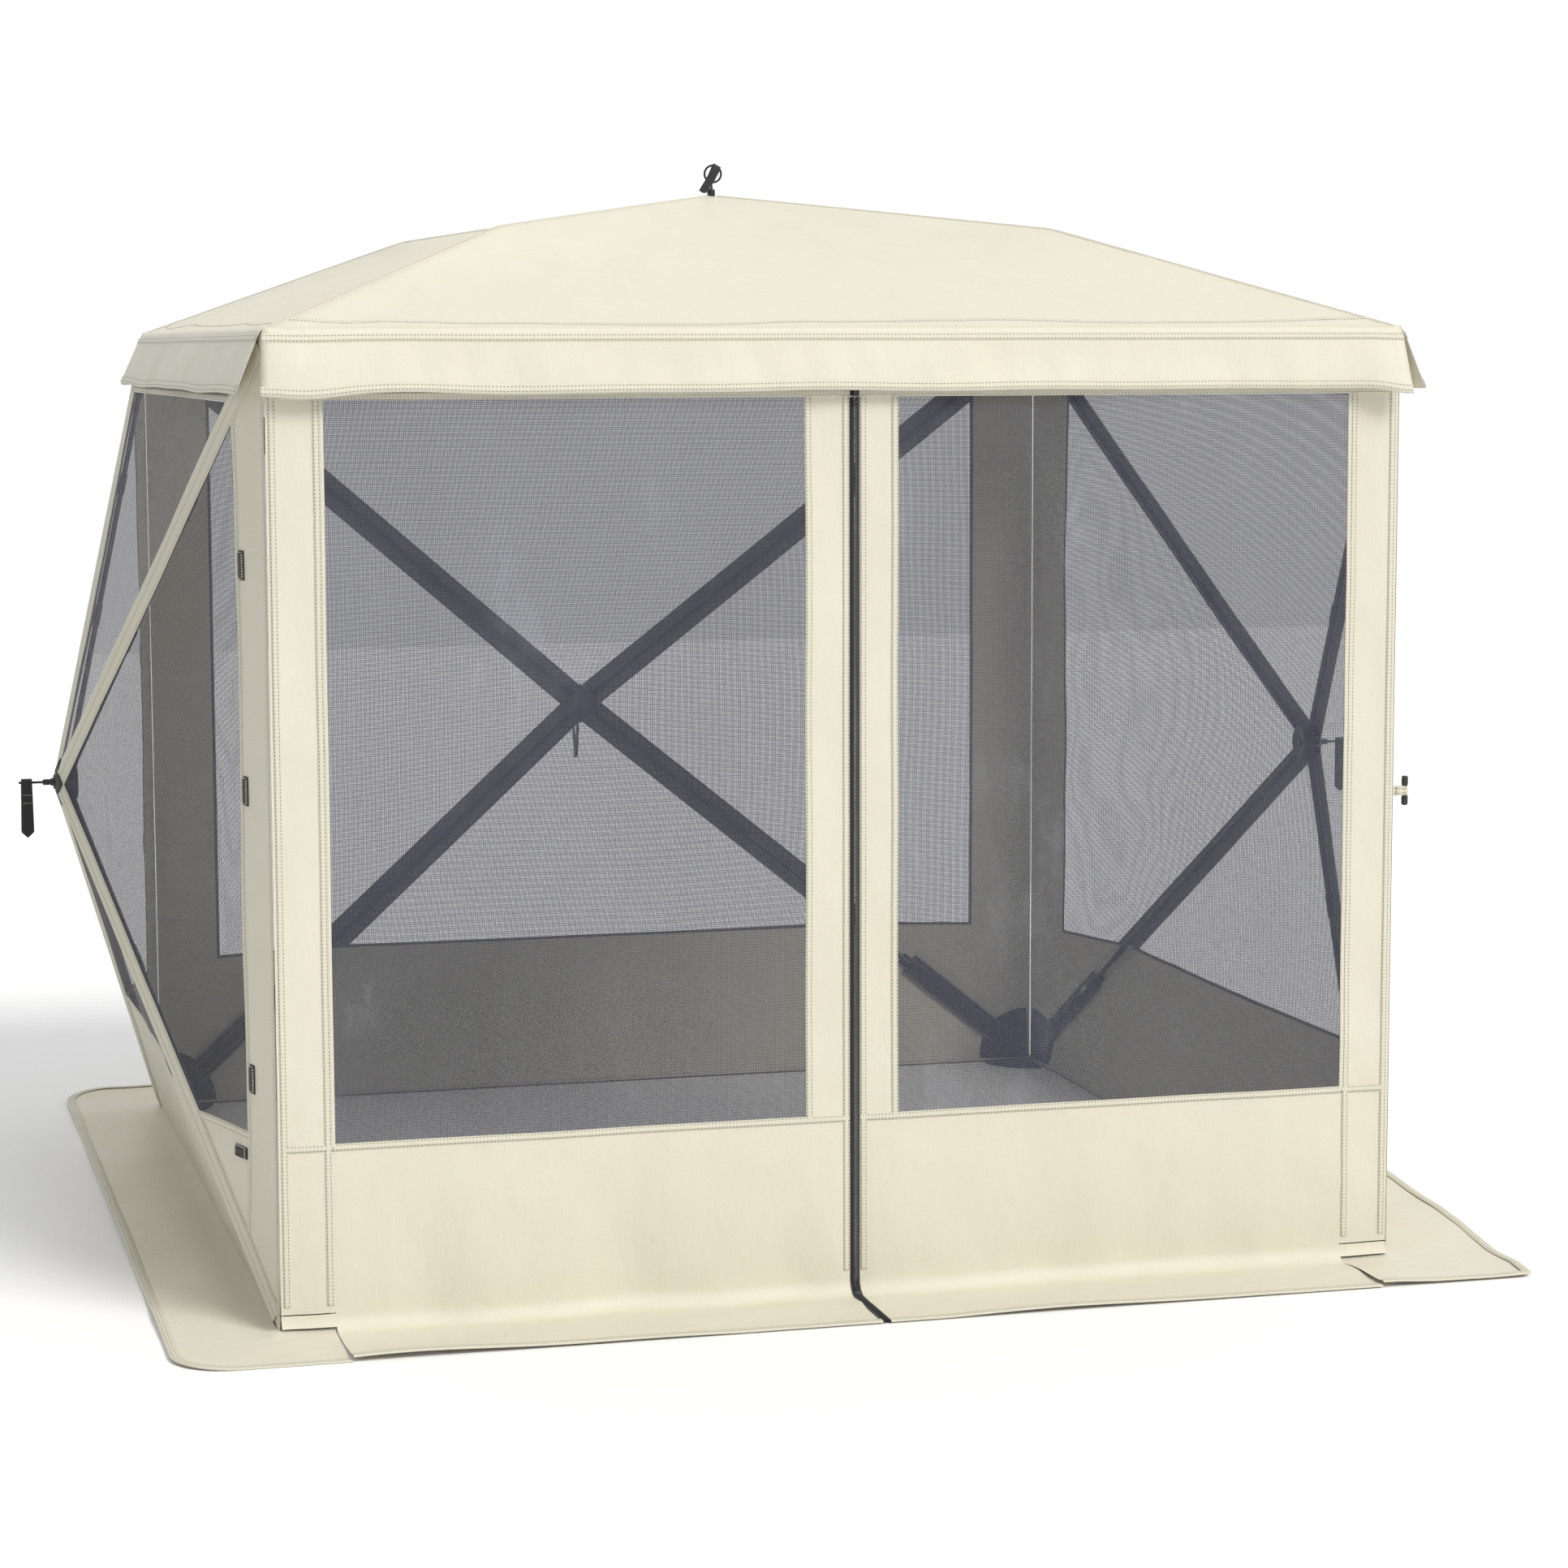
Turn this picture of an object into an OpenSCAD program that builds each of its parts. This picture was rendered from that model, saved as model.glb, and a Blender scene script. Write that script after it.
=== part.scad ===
// Four-sided pop-up hub screen house, standing with its floor skirt spread.
// Three bulged mesh walls and the roof are each tensioned by four poles that
// meet in a hub; the front wall is flat and opens along a centre zip.
// Millimetres, +Z up. The origin is on the ground, bottom centre of the whole.

/* [Footprint and walls] */
// half the width of the square footprint
half_w = 1045; // [800:5:1600]
// height of the eave above the ground
eave_z = 1750; // [1500:5:2200]
// height of the wall hubs above the ground
hub_z = 870; // [600:5:1200]
// outward bulge of a hub wall at its centre
bulge = 292; // [150:1:400]
// thickness of the cloth panels
cloth_t = 1.6; // [0.8:0.1:2.4]
// top of the opaque panel along the foot of each wall
seam_z = 330; // [150:5:600]
// bottom of the opaque band under the eave
header_z = 1630; // [1500:5:1700]
// top of the opaque band under the eave
header_top = 1747; // [1700:1:1749]
// width of the opaque column beside a hub wall's edge
column_w = 138; // [60:1:200]

/* [Roof] */
// height of the canopy's peak
peak_z = 2022; // [1900:1:2400]
// half-width of the square where the roof poles bend
kink_w = 543; // [300:1:800]
// height of the canopy at the bend
kink_z = 1941; // [1800:1:2100]
// height of the valance's hem above the ground
valance_z = 1637; // [1600:1:1700]
// how far the hem of the valance stands out on the hub walls
valance_out = 50; // [10:1:80]
// how far the front hem of the valance stands out
valance_front_out = 24; // [10:1:60]

/* [Doors and zip] */
// half-width of the front opening
door_w = 945; // [600:5:945]
// half-width of the opaque band beside the zip
zip_band = 85; // [40:1:150]
// top edge of the door panels
door_top = 1628; // [1500:1:1629]
// highest point of the zip tape
zip_top = 1697; // [1650:1:1730]

/* [Skirt] */
// how far the ground skirt reaches from the centre at the left and the back
skirt_out = 1250; // [1100:5:1350]
// how far the skirt bows out past the right wall at its middle
skirt_right = 1360; // [1250:5:1400]
// thickness of the skirt
skirt_t = 2; // [1:0.1:3]

/* [Hubs] */
// radius of the hub drum
hub_r = 36; // [25:1:50]
// thickness of the hub drum
hub_t = 24; // [18:1:40]
// distance from the hub's centre to the pole pins
pin_rho = 26; // [20:1:30]
// radius of the pole pins
pin_r = 2.5; // [1.5:0.1:4]
// half-diagonal of the black patch over a wall hub
patch_r = 48; // [30:1:70]
// length of a wall pull strap below its cord
strap_len = 108; // [60:1:160]
// width of a pull strap
strap_w = 24; // [15:1:40]

/* [Poles] */
// radius of a pole
pole_r = 6; // [3:0.5:8]
// distance from the hub's centre to a wall pole's tip, measured in the wall
wall_tip = 1280; // [1000:5:1340]
// distance from the hub's centre to the bend of a roof pole
roof_elbow = 768; // [600:1:900]
// distance from the hub's centre to a roof pole's tip
roof_tip = 1418; // [1200:1:1440]
// width of the webbing sleeve at a pole's end
sleeve_w = 50; // [30:1:70]

/* [Toggle] */
// radius of the toggle's ends
toggle_r = 6.2; // [4:0.1:10]
// length of the toggle
toggle_l = 56; // [30:1:80]

/* [Hidden] */
$fn = 48;
shift = 77.7;                       // moves the footprint so the origin is the bottom centre of the whole
t = cloth_t;
w = half_w;
E = eave_z;
h = hub_z;
D = bulge;
hub_n0 = 253;                       // the drum's inner face, measured out from the wall
hub_n1 = hub_n0 + hub_t;
pin_n = hub_n0 + 12;
boss_n = 291;                       // outer end of the post that passes through the cloth
roof_base = 1737;                   // height that stands for the wall plane in the roof hub
hole = 14;                          // half-size of the hole round the post
uc = w - column_w;
us = w * (1 - seam_z / h);
uh = w * (header_z - h) / (E - h);
uh2 = w * (header_top - h) / (E - h);
inner_w = w - 2.6;                  // where the front and back walls stop beside the side walls
au = atan2(E - h, w);
al = atan2(h, w);
wall_angles = [au, 180 - au, 180 + al, 360 - al];
roof_angles = [45, 135, 225, 315];
cream = [0.90, 0.885, 0.80];
mesh_col = [0.55, 0.57, 0.62, 0.5];
black = [0.06, 0.06, 0.065];
grey = [0.16, 0.16, 0.17];
hook_col = [0.36, 0.31, 0.26];
steel = [0.55, 0.55, 0.57];

// outward distance of a hub wall's facet: 0 foot, 1 +u side, 2 top, 3 -u side, 4 flat
function out(f, u, z) = f == 0 ? D * z / h : f == 1 ? D * (w - u) / w
    : f == 2 ? D * (E - z) / (E - h) : f == 3 ? D * (w + u) / w : 0;
function area2(p, i = 0) = i == len(p) ? 0
    : p[i][0] * p[(i + 1) % len(p)][1] - p[(i + 1) % len(p)][0] * p[i][1] + area2(p, i + 1);
function ccw(p) = area2(p) > 0 ? p : [for (i = [len(p) - 1:-1:0]) p[i]];
function mir(p) = [for (q = p) [-q[0], q[1]]];
function arc(cx, cy, r, a0, a1, n = 10) = [for (i = [0:n]) [cx + r * cos(a0 + (a1 - a0) * i / n), cy + r * sin(a0 + (a1 - a0) * i / n)]];

// a sheet: its outer outline, counter-clockwise from outside, and the inward step
module slab(top, v) {
    n = len(top);
    polyhedron(points = concat(top, [for (p = top) p + v]),
               faces = concat([[for (i = [n - 1:-1:0]) i]], [[for (i = [0:n - 1]) n + i]],
                              [for (i = [0:n - 1]) [i, (i + 1) % n, n + (i + 1) % n, n + i]]));
}
// a flat piece of cloth lying in facet f of a wall
module cloth(f, pts, off = 0, th = t) {
    q = ccw(pts);
    slab([for (p = q) [p[0], -w - out(f, p[0], p[1]) - off, p[1]]], [0, th, 0]);
}
// a flat piece of the front wall, drawn in x and z
module front_cloth(pts) translate([0, -w + t, 0]) rotate([90, 0, 0]) linear_extrude(t) polygon(pts);
module site() translate([0, -shift, 0]) children();
// wall frames: u runs to the right as seen from outside, -y is outward
module wall(a) site() rotate([0, 0, a]) children();
// hub frame of a wall: x = u, y = up, z = outward
module hub_at(a) wall(a) translate([0, -w, h]) rotate([90, 0, 0]) children();
module roof_at() site() translate([0, 0, roof_base]) children();

// ---------- cloth ----------
// each panel is cut on its own and stops 0.2 mm short of the ridge seam it shares with the next
module roof_canopy() color(cream) site() for (a = [0:90:270]) rotate([0, 0, a]) {
    g = 0.2;
    kg = kink_w + g;
    slab([[-w + g, -w, E], [w - g, -w, E], [kg - g, -kg, kink_z - 0.1], [-kg + g, -kg, kink_z - 0.1]], [0, 0, -t]);
    slab([[-kink_w + g, -kink_w, kink_z], [kink_w - g, -kink_w, kink_z], [12, -12 - g, peak_z - 2], [-12, -12 - g, peak_z - 2]], [0, 0, -t]);
}

// one side of the valance; e0 and e1 lengthen the hem at its two ends
module valance_side(o, e0, e1)
    slab([[-w - 1.2 - e0, -w - o, valance_z], [w + 1.2 + e1, -w - o, valance_z],
          [w + 1.2, -w - 3, E + 2], [-w - 1.2, -w - 3, E + 2]], [0, t, 0]);
module valance() color(cream) {
    wall(0) valance_side(valance_front_out, 8, 8);
    wall(-90) valance_side(valance_out, valance_out - 4, 8);
    wall(90) valance_side(valance_out, 8, valance_out - 4);
    wall(180) valance_side(valance_out, valance_out - 4, valance_out - 4);
}

module front_wall_border() color(cream) wall(0) {
    front_cloth([[-inner_w, header_z], [inner_w, header_z], [inner_w, header_top], [-inner_w, header_top]]);
    for (m = [0, 1]) mirror([m, 0, 0])
        front_cloth([[door_w + 5, 0], [inner_w, 0], [inner_w, header_z], [door_w + 5, header_z]]);
}

// header and two edge columns of a hub wall whose outer edges lie at +-e
module hub_border(e) {
    zb = e < w ? 2.2 : 0;
    cloth(2, [[-uh, header_z], [uh, header_z], [min(e, uh2 + 3), header_top], [-min(e, uh2 + 3), header_top]]);
    col = [[e, zb], [uc, h * (w - uc) / w], [uc, E - (E - h) * (w - uc) / w - 0.2], [e, header_top - (e < w ? 0 : 0.2)]];
    cloth(1, col);
    cloth(3, mir(col));
}
module wall_borders() color(cream) {
    wall(-90) hub_border(w);
    wall(90) hub_border(w);
    wall(180) hub_border(inner_w);
}

module hub_mesh() {
    zb = h - hole * h / w;
    zt = h + hole * (E - h) / w;
    cloth(0, [[-us, seam_z], [us, seam_z], [hole, zb], [-hole, zb]]);
    cloth(2, [[-hole, zt], [hole, zt], [uh, header_z], [-uh, header_z]]);
    g = 0.3;
    side = [[hole + g, zb], [us + g, seam_z], [uc, seam_z], [uc, E - (E - h) * (w - uc) / w - g], [hole + g, zt]];
    cloth(1, side);
    cloth(3, mir(side));
}
module left_wall_mesh() color(mesh_col) wall(-90) hub_mesh();
module back_wall_mesh() color(mesh_col) wall(180) hub_mesh();
module right_wall_mesh() color(mesh_col) wall(90) hub_mesh();

module lower_panel(e) {
    zb = e < w ? 2.2 : 0;
    cloth(0, [[-e, 0], [e, 0], [e, zb], [us, seam_z], [-us, seam_z], [-e, zb]]);
    side = [[uc, h * (w - uc) / w + 0.3], [uc, seam_z], [us + 0.4, seam_z]];
    cloth(1, side);
    cloth(3, mir(side));
}
module lower_panel_full() {
    cloth(0, [[-w, 0], [w, 0], [us, seam_z], [-us, seam_z]]);
    side = [[uc, h * (w - uc) / w + 0.3], [uc, seam_z], [us + 0.4, seam_z]];
    cloth(1, side);
    cloth(3, mir(side));
}
module lower_panels() color(cream) {
    wall(-90) lower_panel_full();
    wall(90) lower_panel_full();
    wall(180) lower_panel(inner_w);
}

// the doubled cloth that carries a pole: one strip on each side of the ridge
module band(a, side, r1) {
    d = [cos(a), sin(a)];
    n = side * [-sin(a), cos(a)];
    m = d + n * 0.2;
    f = abs(m[1]) * w > abs(m[0]) * (m[1] > 0 ? E - h : h) ? (m[1] > 0 ? 2 : 0) : (m[0] > 0 ? 1 : 3);
    p = [for (k = [[42, 0], [r1, 0], [r1, 32], [42, 32]]) [0, h] + d * k[0] + n * k[1]];
    cloth(f, p, t + 0.06);
}
module wall_bands() for (a = wall_angles, s = [-1, 1]) band(a, s, a < 180 ? 1180 : 844);
module pole_bands() color(cream) {
    wall(-90) wall_bands();
    wall(90) wall_bands();
    wall(180) wall_bands();
}

module skirt_piece(pts) site() linear_extrude(skirt_t) polygon(pts);
module skirts() color(cream) {
    s = w + 1;
    o = skirt_out;
    skirt_piece([[-s, -s], [-s, s], [-o, s], [-o, -s]]);
    skirt_piece(concat([[s, s]], arc(o - 130, s, 130, 0, 90) + [for (i = [0:10]) [0, o - s - 130]],
                       arc(-o + 130, s, 130, 90, 180) + [for (i = [0:10]) [0, o - s - 130]], [[-s, s + 0.5], [-s, s]]));
    skirt_piece(concat([[s, s - 0.5], [s, -s + 0.5]],
                       [for (i = [0:16]) let (y = -s + 0.5 + (2 * s - 1) * i / 16) [o - 15 + (skirt_right - o + 15) * (1 - pow(y / o, 2)), y]]));
    skirt_piece(concat([[-952, -o - 3], [-952, -s], [-o, -s - 0.5]], arc(-o + 100, -o + 97, 100, 180, 270)));
    skirt_piece(concat([[952, -s], [952, -o - 3]], arc(o - 30, -o + 27, 30, 270, 360), [[o, -s - 0.5]]));
}

// quarter disc that stiffens a bottom corner on the inside
module wall_corner(r) {
    c = [w - 6, 5];
    cloth(1, concat([c], arc(c[0], c[1], r, 90, 180 - al)), -(t + 0.6), 1.2);
    cloth(0, concat([c], arc(c[0], c[1], r, 180 - al, 180)), -(t + 0.6), 1.2);
}
module corner_patches() color(black) {
    for (a = [-90, 90, 180], m = [0, 1]) wall(a) mirror([m, 0, 0]) wall_corner(115);
    for (m = [0, 1]) wall(0) mirror([m, 0, 0])
        cloth(4, concat([[w - 6, 5]], arc(w - 6, 5, 85, 90, 180)), -(t + 0.6), 1.2);
}

// hook-and-loop squares along the edge columns
module hook_sq(u, z, a, b) {
    s = sign(u);
    cloth(s > 0 ? 1 : 3, [[u - a / 2, z - b / 2], [u + a / 2, z - b / 2], [u + a / 2, z + b / 2], [u - a / 2, z + b / 2]], 1.2, 1.2);
}
module hook_patches() color(hook_col) {
    for (z = [1342, 947, 435]) {
        wall(-90) hook_sq(940, z, 36, 50);
        wall(90) hook_sq(-940, z, 36, 50);
    }
    for (z = [1486, 1046, 624]) {
        wall(-90) hook_sq(-940, z, 36, 50);
        wall(90) hook_sq(940, z, 36, 50);
        wall(180) { hook_sq(-940, z, 36, 50); hook_sq(940, z, 36, 50); }
    }
    for (a = [-90, 90, 180], s = [-1, 1]) wall(a) hook_sq(s * 872, 295, 50, 22);
}

// ---------- toggle on the right wall's front column ----------
toggle_at = [1080, -1020, 888];
module toggle_loop() color(cream) site() {
    difference() {
        union() {
            translate(toggle_at - [0, 0, 6]) cylinder(r = 7.2, h = 12);
            translate([w + 8.2, toggle_at[1] - 2, toggle_at[2] - 6]) cube([22, 4, 12]);
        }
        translate(toggle_at - [0, 0, 7]) cylinder(r = 4.6, h = 14);
    }
    translate([w + 8.2, toggle_at[1] - 2, toggle_at[2] - 9.5]) cube([16, 4, 19]);
}
module toggle() color(black) site() translate(toggle_at) rotate_extrude()
    polygon([[0, -toggle_l / 2], [toggle_r - 1.5, -toggle_l / 2], [toggle_r, -toggle_l / 2 + 1.5], [toggle_r, -11],
             [4, -7], [4, 7], [toggle_r, 11], [toggle_r, toggle_l / 2 - 1.5], [toggle_r - 1.5, toggle_l / 2], [0, toggle_l / 2]]);

// ---------- doors ----------
module door_mesh() front_cloth([[-door_w, seam_z], [-zip_band, seam_z], [-zip_band, door_top], [-door_w, door_top]]);
module door_panel() {
    front_cloth([[-door_w, 6], [-1, 6], [-1, door_top], [-zip_band, door_top], [-zip_band, seam_z], [-door_w, seam_z]]);
    translate([-door_w, -skirt_out, 4.4]) cube([door_w - 1, skirt_out - w + t, t]);
}
module door_zip_tape() {
    slab([[-7, -w - 1.2, 6], [-0.3, -w - 1.2, 6], [-0.3, -w - 1.2, door_top], [-7, -w - 1.2, door_top]], [0, 1.2, 0]);
    translate([-7, -skirt_out, 6]) cube([6.7, skirt_out - w - 1, 1.2]);
}
module door_left_mesh() color(mesh_col) wall(0) door_mesh();
module door_left_panel() color(cream) wall(0) door_panel();
module door_left_zip_tape() color(black) wall(0) door_zip_tape();
module door_right_mesh() color(mesh_col) wall(0) mirror([1, 0, 0]) door_mesh();
module door_right_panel() color(cream) wall(0) mirror([1, 0, 0]) door_panel();
module door_right_zip_tape() color(black) wall(0) mirror([1, 0, 0]) door_zip_tape();

module zip_top_tape() color(black) wall(0)
    translate([-7, -w - 1.2, header_z + 0.5]) cube([14, 1.2, zip_top - header_z - 0.5]);

slider_z = 1641;
module zip_slider() color(grey) wall(0) translate([0, -w - 1.6, slider_z]) {
    difference() {
        translate([-6.5, -3.2, 0]) cube([13, 3.2, 26]);
        translate([-7, -4, 22]) rotate([0, 45, 0]) cube([8, 5, 8], center = true);
        translate([7, -4, 22]) rotate([0, 45, 0]) cube([8, 5, 8], center = true);
    }
    for (x = [-4.6, 2.6]) translate([x, -8.2, 2]) cube([2, 5.2, 5]);
    translate([-4.6, -6.6, 4.5]) rotate([0, 90, 0]) cylinder(r = 1, h = 9.2);
}
module zip_pull() color(grey) wall(0) translate([0, -w - 8.2, slider_z + 4.5]) {
    difference() {
        union() {
            rotate([0, 90, 0]) cylinder(r = 2.4, h = 4.6, center = true);
            translate([-2.3, -0.8, -10]) cube([4.6, 1.6, 10]);
            translate([-4.5, -0.8, -28]) cube([9, 1.6, 18.2]);
        }
        rotate([0, 90, 0]) cylinder(r = 1.15, h = 20, center = true);
        translate([-2.5, -2, -24]) cube([5, 4, 11]);
    }
}

// ---------- hubs ----------
module hub_drum(angles) difference() {
    union() {
        translate([0, 0, hub_n0]) cylinder(r = hub_r, h = hub_t);
        translate([0, 0, hub_n1]) cylinder(r = 8, h = boss_n - hub_n1);
    }
    for (a = angles) rotate([0, 0, a]) {
        translate([18, -6.8, hub_n0 + 2.5]) cube([hub_r, 13.6, hub_t - 5]);
        translate([pin_rho, 0, pin_n]) rotate([90, 0, 0]) cylinder(r = pin_r, h = 24, center = true);
    }
}
module hub_pin_set(angles) for (a = angles) rotate([0, 0, a])
    translate([pin_rho, 0, pin_n]) rotate([90, 0, 0]) cylinder(r = pin_r, h = 24, center = true);

// black diamond sewn over a wall hub, folded to the four facets
module hub_diamond() {
    p = 11;
    o = 2 * t + 0.6;
    d = [patch_r / (cos(au) + sin(au)) * cos(au), patch_r / (cos(au) + sin(au)) * sin(au)];
    e = [patch_r / (cos(al) + sin(al)) * cos(al), -patch_r / (cos(al) + sin(al)) * sin(al)];
    cloth(2, [[-p, h + p * (E - h) / w], [p, h + p * (E - h) / w], [d[0], h + d[1]], [0, h + patch_r], [-d[0], h + d[1]]], o, 2);
    cloth(0, [[-p, h - p * h / w], [p, h - p * h / w], [e[0], h + e[1]], [0, h - patch_r], [-e[0], h + e[1]]], o, 2);
    side = [[p, h + p * (E - h) / w], [d[0], h + d[1]], [patch_r, h], [e[0], h + e[1]], [p, h - p * h / w]];
    cloth(1, side, o, 2);
    cloth(3, mir(side), o, 2);
}

// pull cord: collar, crimp and a doubled cord ending in a bight
module pull_cord() {
    translate([0, 0, boss_n + 0.3]) cylinder(r = 7.5, h = 9.7);
    translate([0, 0, boss_n + 10]) cylinder(r = 5.8, h = 15);
    for (x = [-3.2, 3.2]) translate([x, 0, boss_n + 25]) cylinder(r = 2.2, h = 42);
    translate([0, 0, boss_n + 67]) rotate([90, 0, 0]) rotate_extrude(angle = 180) translate([3.2, 0]) circle(r = 2.2, $fn = 24);
}
// strap that hangs from the bight by a sewn eye; it turns about the cord
module pull_strap(len, point = 12) {
    difference() {
        union() {
            translate([0, 0, 335]) cylinder(r = 8.5, h = strap_w);
            translate([-1.6, 0, 335 + strap_w / 2]) rotate([0, 90, 0]) linear_extrude(3.2)
                polygon([[-strap_w / 2, -6], [-strap_w / 2, -len + point], [-strap_w / 4, -len], [strap_w / 4, -len], [strap_w / 2, -len + point], [strap_w / 2, -6]]);
        }
        translate([0, 0, 330]) cylinder(r = 6, h = strap_w + 10);
        translate([0, -len + 14, 335 + strap_w / 2]) rotate([0, 90, 0]) cylinder(r = 2, h = 10, center = true, $fn = 24);
    }
}

// roof cord: one short stem that opens into a round loop
ring_c = [3.5, 328];
ring_r = 16.8;
strap_a = 62;
module roof_cord() {
    translate([0, 0, boss_n + 0.3]) cylinder(r = 8, h = 5);
    translate([ring_c[0] / 2, 0, boss_n + 5]) cylinder(r = 2.6, h = 13);
    translate([ring_c[0], 0, ring_c[1] - ring_r - 4]) cylinder(r = 4.2, h = 8);
    translate([ring_c[0], 0, ring_c[1]]) rotate([90, 0, 0]) rotate_extrude($fn = 64) translate([ring_r, 0]) circle(r = 2.2, $fn = 24);
}
module roof_strap() translate([ring_c[0] + (ring_r - 1.4) * cos(strap_a), 0, ring_c[1] + (ring_r - 1.4) * sin(strap_a)])
    rotate([0, 90 - strap_a, 0]) difference() {
        union() {
            rotate([0, 90, 0]) cylinder(r = 6.2, h = 18, center = true);
            translate([0, -4.6, 0]) rotate([90, 0, 0]) linear_extrude(1.6)
                polygon([[-9, 0], [9, 0], [8, -28], [3.5, -54], [-10, -64], [-10, -20]]);
        }
        rotate([0, 90, 0]) cylinder(r = 4.4, h = 19, center = true);
    }

module left_hub_body() color(black) hub_at(-90) hub_drum(wall_angles);
module left_hub_pins() color(steel) hub_at(-90) hub_pin_set(wall_angles);
module left_hub_patch() color(black) wall(-90) hub_diamond();
module left_pull_cord() color(black) hub_at(-90) pull_cord();
module left_pull_strap() color(black) hub_at(-90) pull_strap(strap_len);
module back_hub_body() color(black) hub_at(180) hub_drum(wall_angles);
module back_hub_pins() color(steel) hub_at(180) hub_pin_set(wall_angles);
module back_hub_patch() color(black) wall(180) hub_diamond();
module back_pull_cord() color(black) hub_at(180) pull_cord();
module back_pull_strap() color(black) hub_at(180) pull_strap(strap_len + 30, 0.5);
module right_hub_body() color(black) hub_at(90) hub_drum(wall_angles);
module right_hub_pins() color(steel) hub_at(90) hub_pin_set(wall_angles);
module right_hub_patch() color(black) wall(90) hub_diamond();
module right_pull_cord() color(black) hub_at(90) pull_cord();
module right_pull_strap() color(black) hub_at(90) pull_strap(strap_len);
module roof_hub_body() color(black) roof_at() hub_drum(roof_angles);
module roof_hub_pins() color(steel) roof_at() hub_pin_set(roof_angles);
module roof_pull_cord() color(black) roof_at() roof_cord();
module roof_pull_strap() color(black) roof_at() roof_strap();

// ---------- poles ----------
// round rod between two points given as [distance from the hub's axis, outward distance]
module rod(p, q, r) translate([p[0], 0, p[1]])
    rotate([0, atan2(q[0] - p[0], q[1] - p[1]), 0]) cylinder(r = r, h = norm(q - p));
// webbing sleeve round the last part of a pole
module sleeve(p, q, len) {
    d = (q - p) / norm(q - p);
    s = q - d * len;
    rod(s, q + d * 3, 8);
    translate([s[0], 0, s[1]]) rotate([0, atan2(d[0], d[1]), 0]) translate([-2.5, -sleeve_w / 2, 0]) cube([5, sleeve_w, len]);
}
module eye() difference() {
    children();
    translate([pin_rho, 0, pin_n]) rotate([90, 0, 0]) cylinder(r = pin_r + 0.05, h = 40, center = true);
}
module eye_solid() translate([pin_rho, 0, pin_n]) rotate([90, 0, 0]) cylinder(r = 6.5, h = 12, center = true);
module wall_pole(a, len) rotate([0, 0, a]) eye() {
    p = [pin_rho, pin_n];
    q = [wall_tip, 2];
    union() {
        eye_solid();
        rod(p, q, pole_r);
        sleeve(p, q, len);
    }
}
module roof_pole(a) rotate([0, 0, a]) eye() {
    p = [pin_rho, pin_n];
    k = [roof_elbow, 192];
    q = [roof_tip, 16];
    union() {
        eye_solid();
        rod(p, k, pole_r);
        rod(k, q, pole_r);
        translate([k[0], 0, k[1]]) rotate([90, 0, 0]) cylinder(r = 7.4, h = 14, center = true);
        sleeve(k, q, 120);
    }
}
module left_pole_upper_front() color(black) hub_at(-90) wall_pole(wall_angles[0], 120);
module left_pole_upper_back() color(black) hub_at(-90) wall_pole(wall_angles[1], 120);
module left_pole_lower_back() color(black) hub_at(-90) wall_pole(wall_angles[2], 300);
module left_pole_lower_front() color(black) hub_at(-90) wall_pole(wall_angles[3], 300);
module back_pole_upper_left() color(black) hub_at(180) wall_pole(wall_angles[0], 120);
module back_pole_upper_right() color(black) hub_at(180) wall_pole(wall_angles[1], 120);
module back_pole_lower_right() color(black) hub_at(180) wall_pole(wall_angles[2], 300);
module back_pole_lower_left() color(black) hub_at(180) wall_pole(wall_angles[3], 300);
module right_pole_upper_back() color(black) hub_at(90) wall_pole(wall_angles[0], 120);
module right_pole_upper_front() color(black) hub_at(90) wall_pole(wall_angles[1], 120);
module right_pole_lower_front() color(black) hub_at(90) wall_pole(wall_angles[2], 300);
module right_pole_lower_back() color(black) hub_at(90) wall_pole(wall_angles[3], 300);
module roof_pole_back_right() color(black) roof_at() roof_pole(45);
module roof_pole_back_left() color(black) roof_at() roof_pole(135);
module roof_pole_front_left() color(black) roof_at() roof_pole(225);
module roof_pole_front_right() color(black) roof_at() roof_pole(315);

roof_canopy();
valance();
front_wall_border();
wall_borders();
left_wall_mesh();
back_wall_mesh();
right_wall_mesh();
pole_bands();
lower_panels();
skirts();
corner_patches();
hook_patches();
toggle_loop();
zip_top_tape();
toggle();
door_left_mesh();
door_left_panel();
door_left_zip_tape();
door_right_mesh();
door_right_panel();
door_right_zip_tape();
zip_slider();
zip_pull();
left_hub_body();
left_hub_pins();
left_hub_patch();
left_pull_cord();
left_pull_strap();
back_hub_body();
back_hub_pins();
back_hub_patch();
back_pull_cord();
back_pull_strap();
right_hub_body();
right_hub_pins();
right_hub_patch();
right_pull_cord();
right_pull_strap();
roof_hub_body();
roof_hub_pins();
roof_pull_cord();
roof_pull_strap();
left_pole_upper_front();
left_pole_upper_back();
left_pole_lower_back();
left_pole_lower_front();
back_pole_upper_left();
back_pole_upper_right();
back_pole_lower_right();
back_pole_lower_left();
right_pole_upper_back();
right_pole_upper_front();
right_pole_lower_front();
right_pole_lower_back();
roof_pole_back_right();
roof_pole_back_left();
roof_pole_front_left();
roof_pole_front_right();
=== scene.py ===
import math
import bpy
import bmesh
import numpy as np
from mathutils import Matrix, Vector


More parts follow.
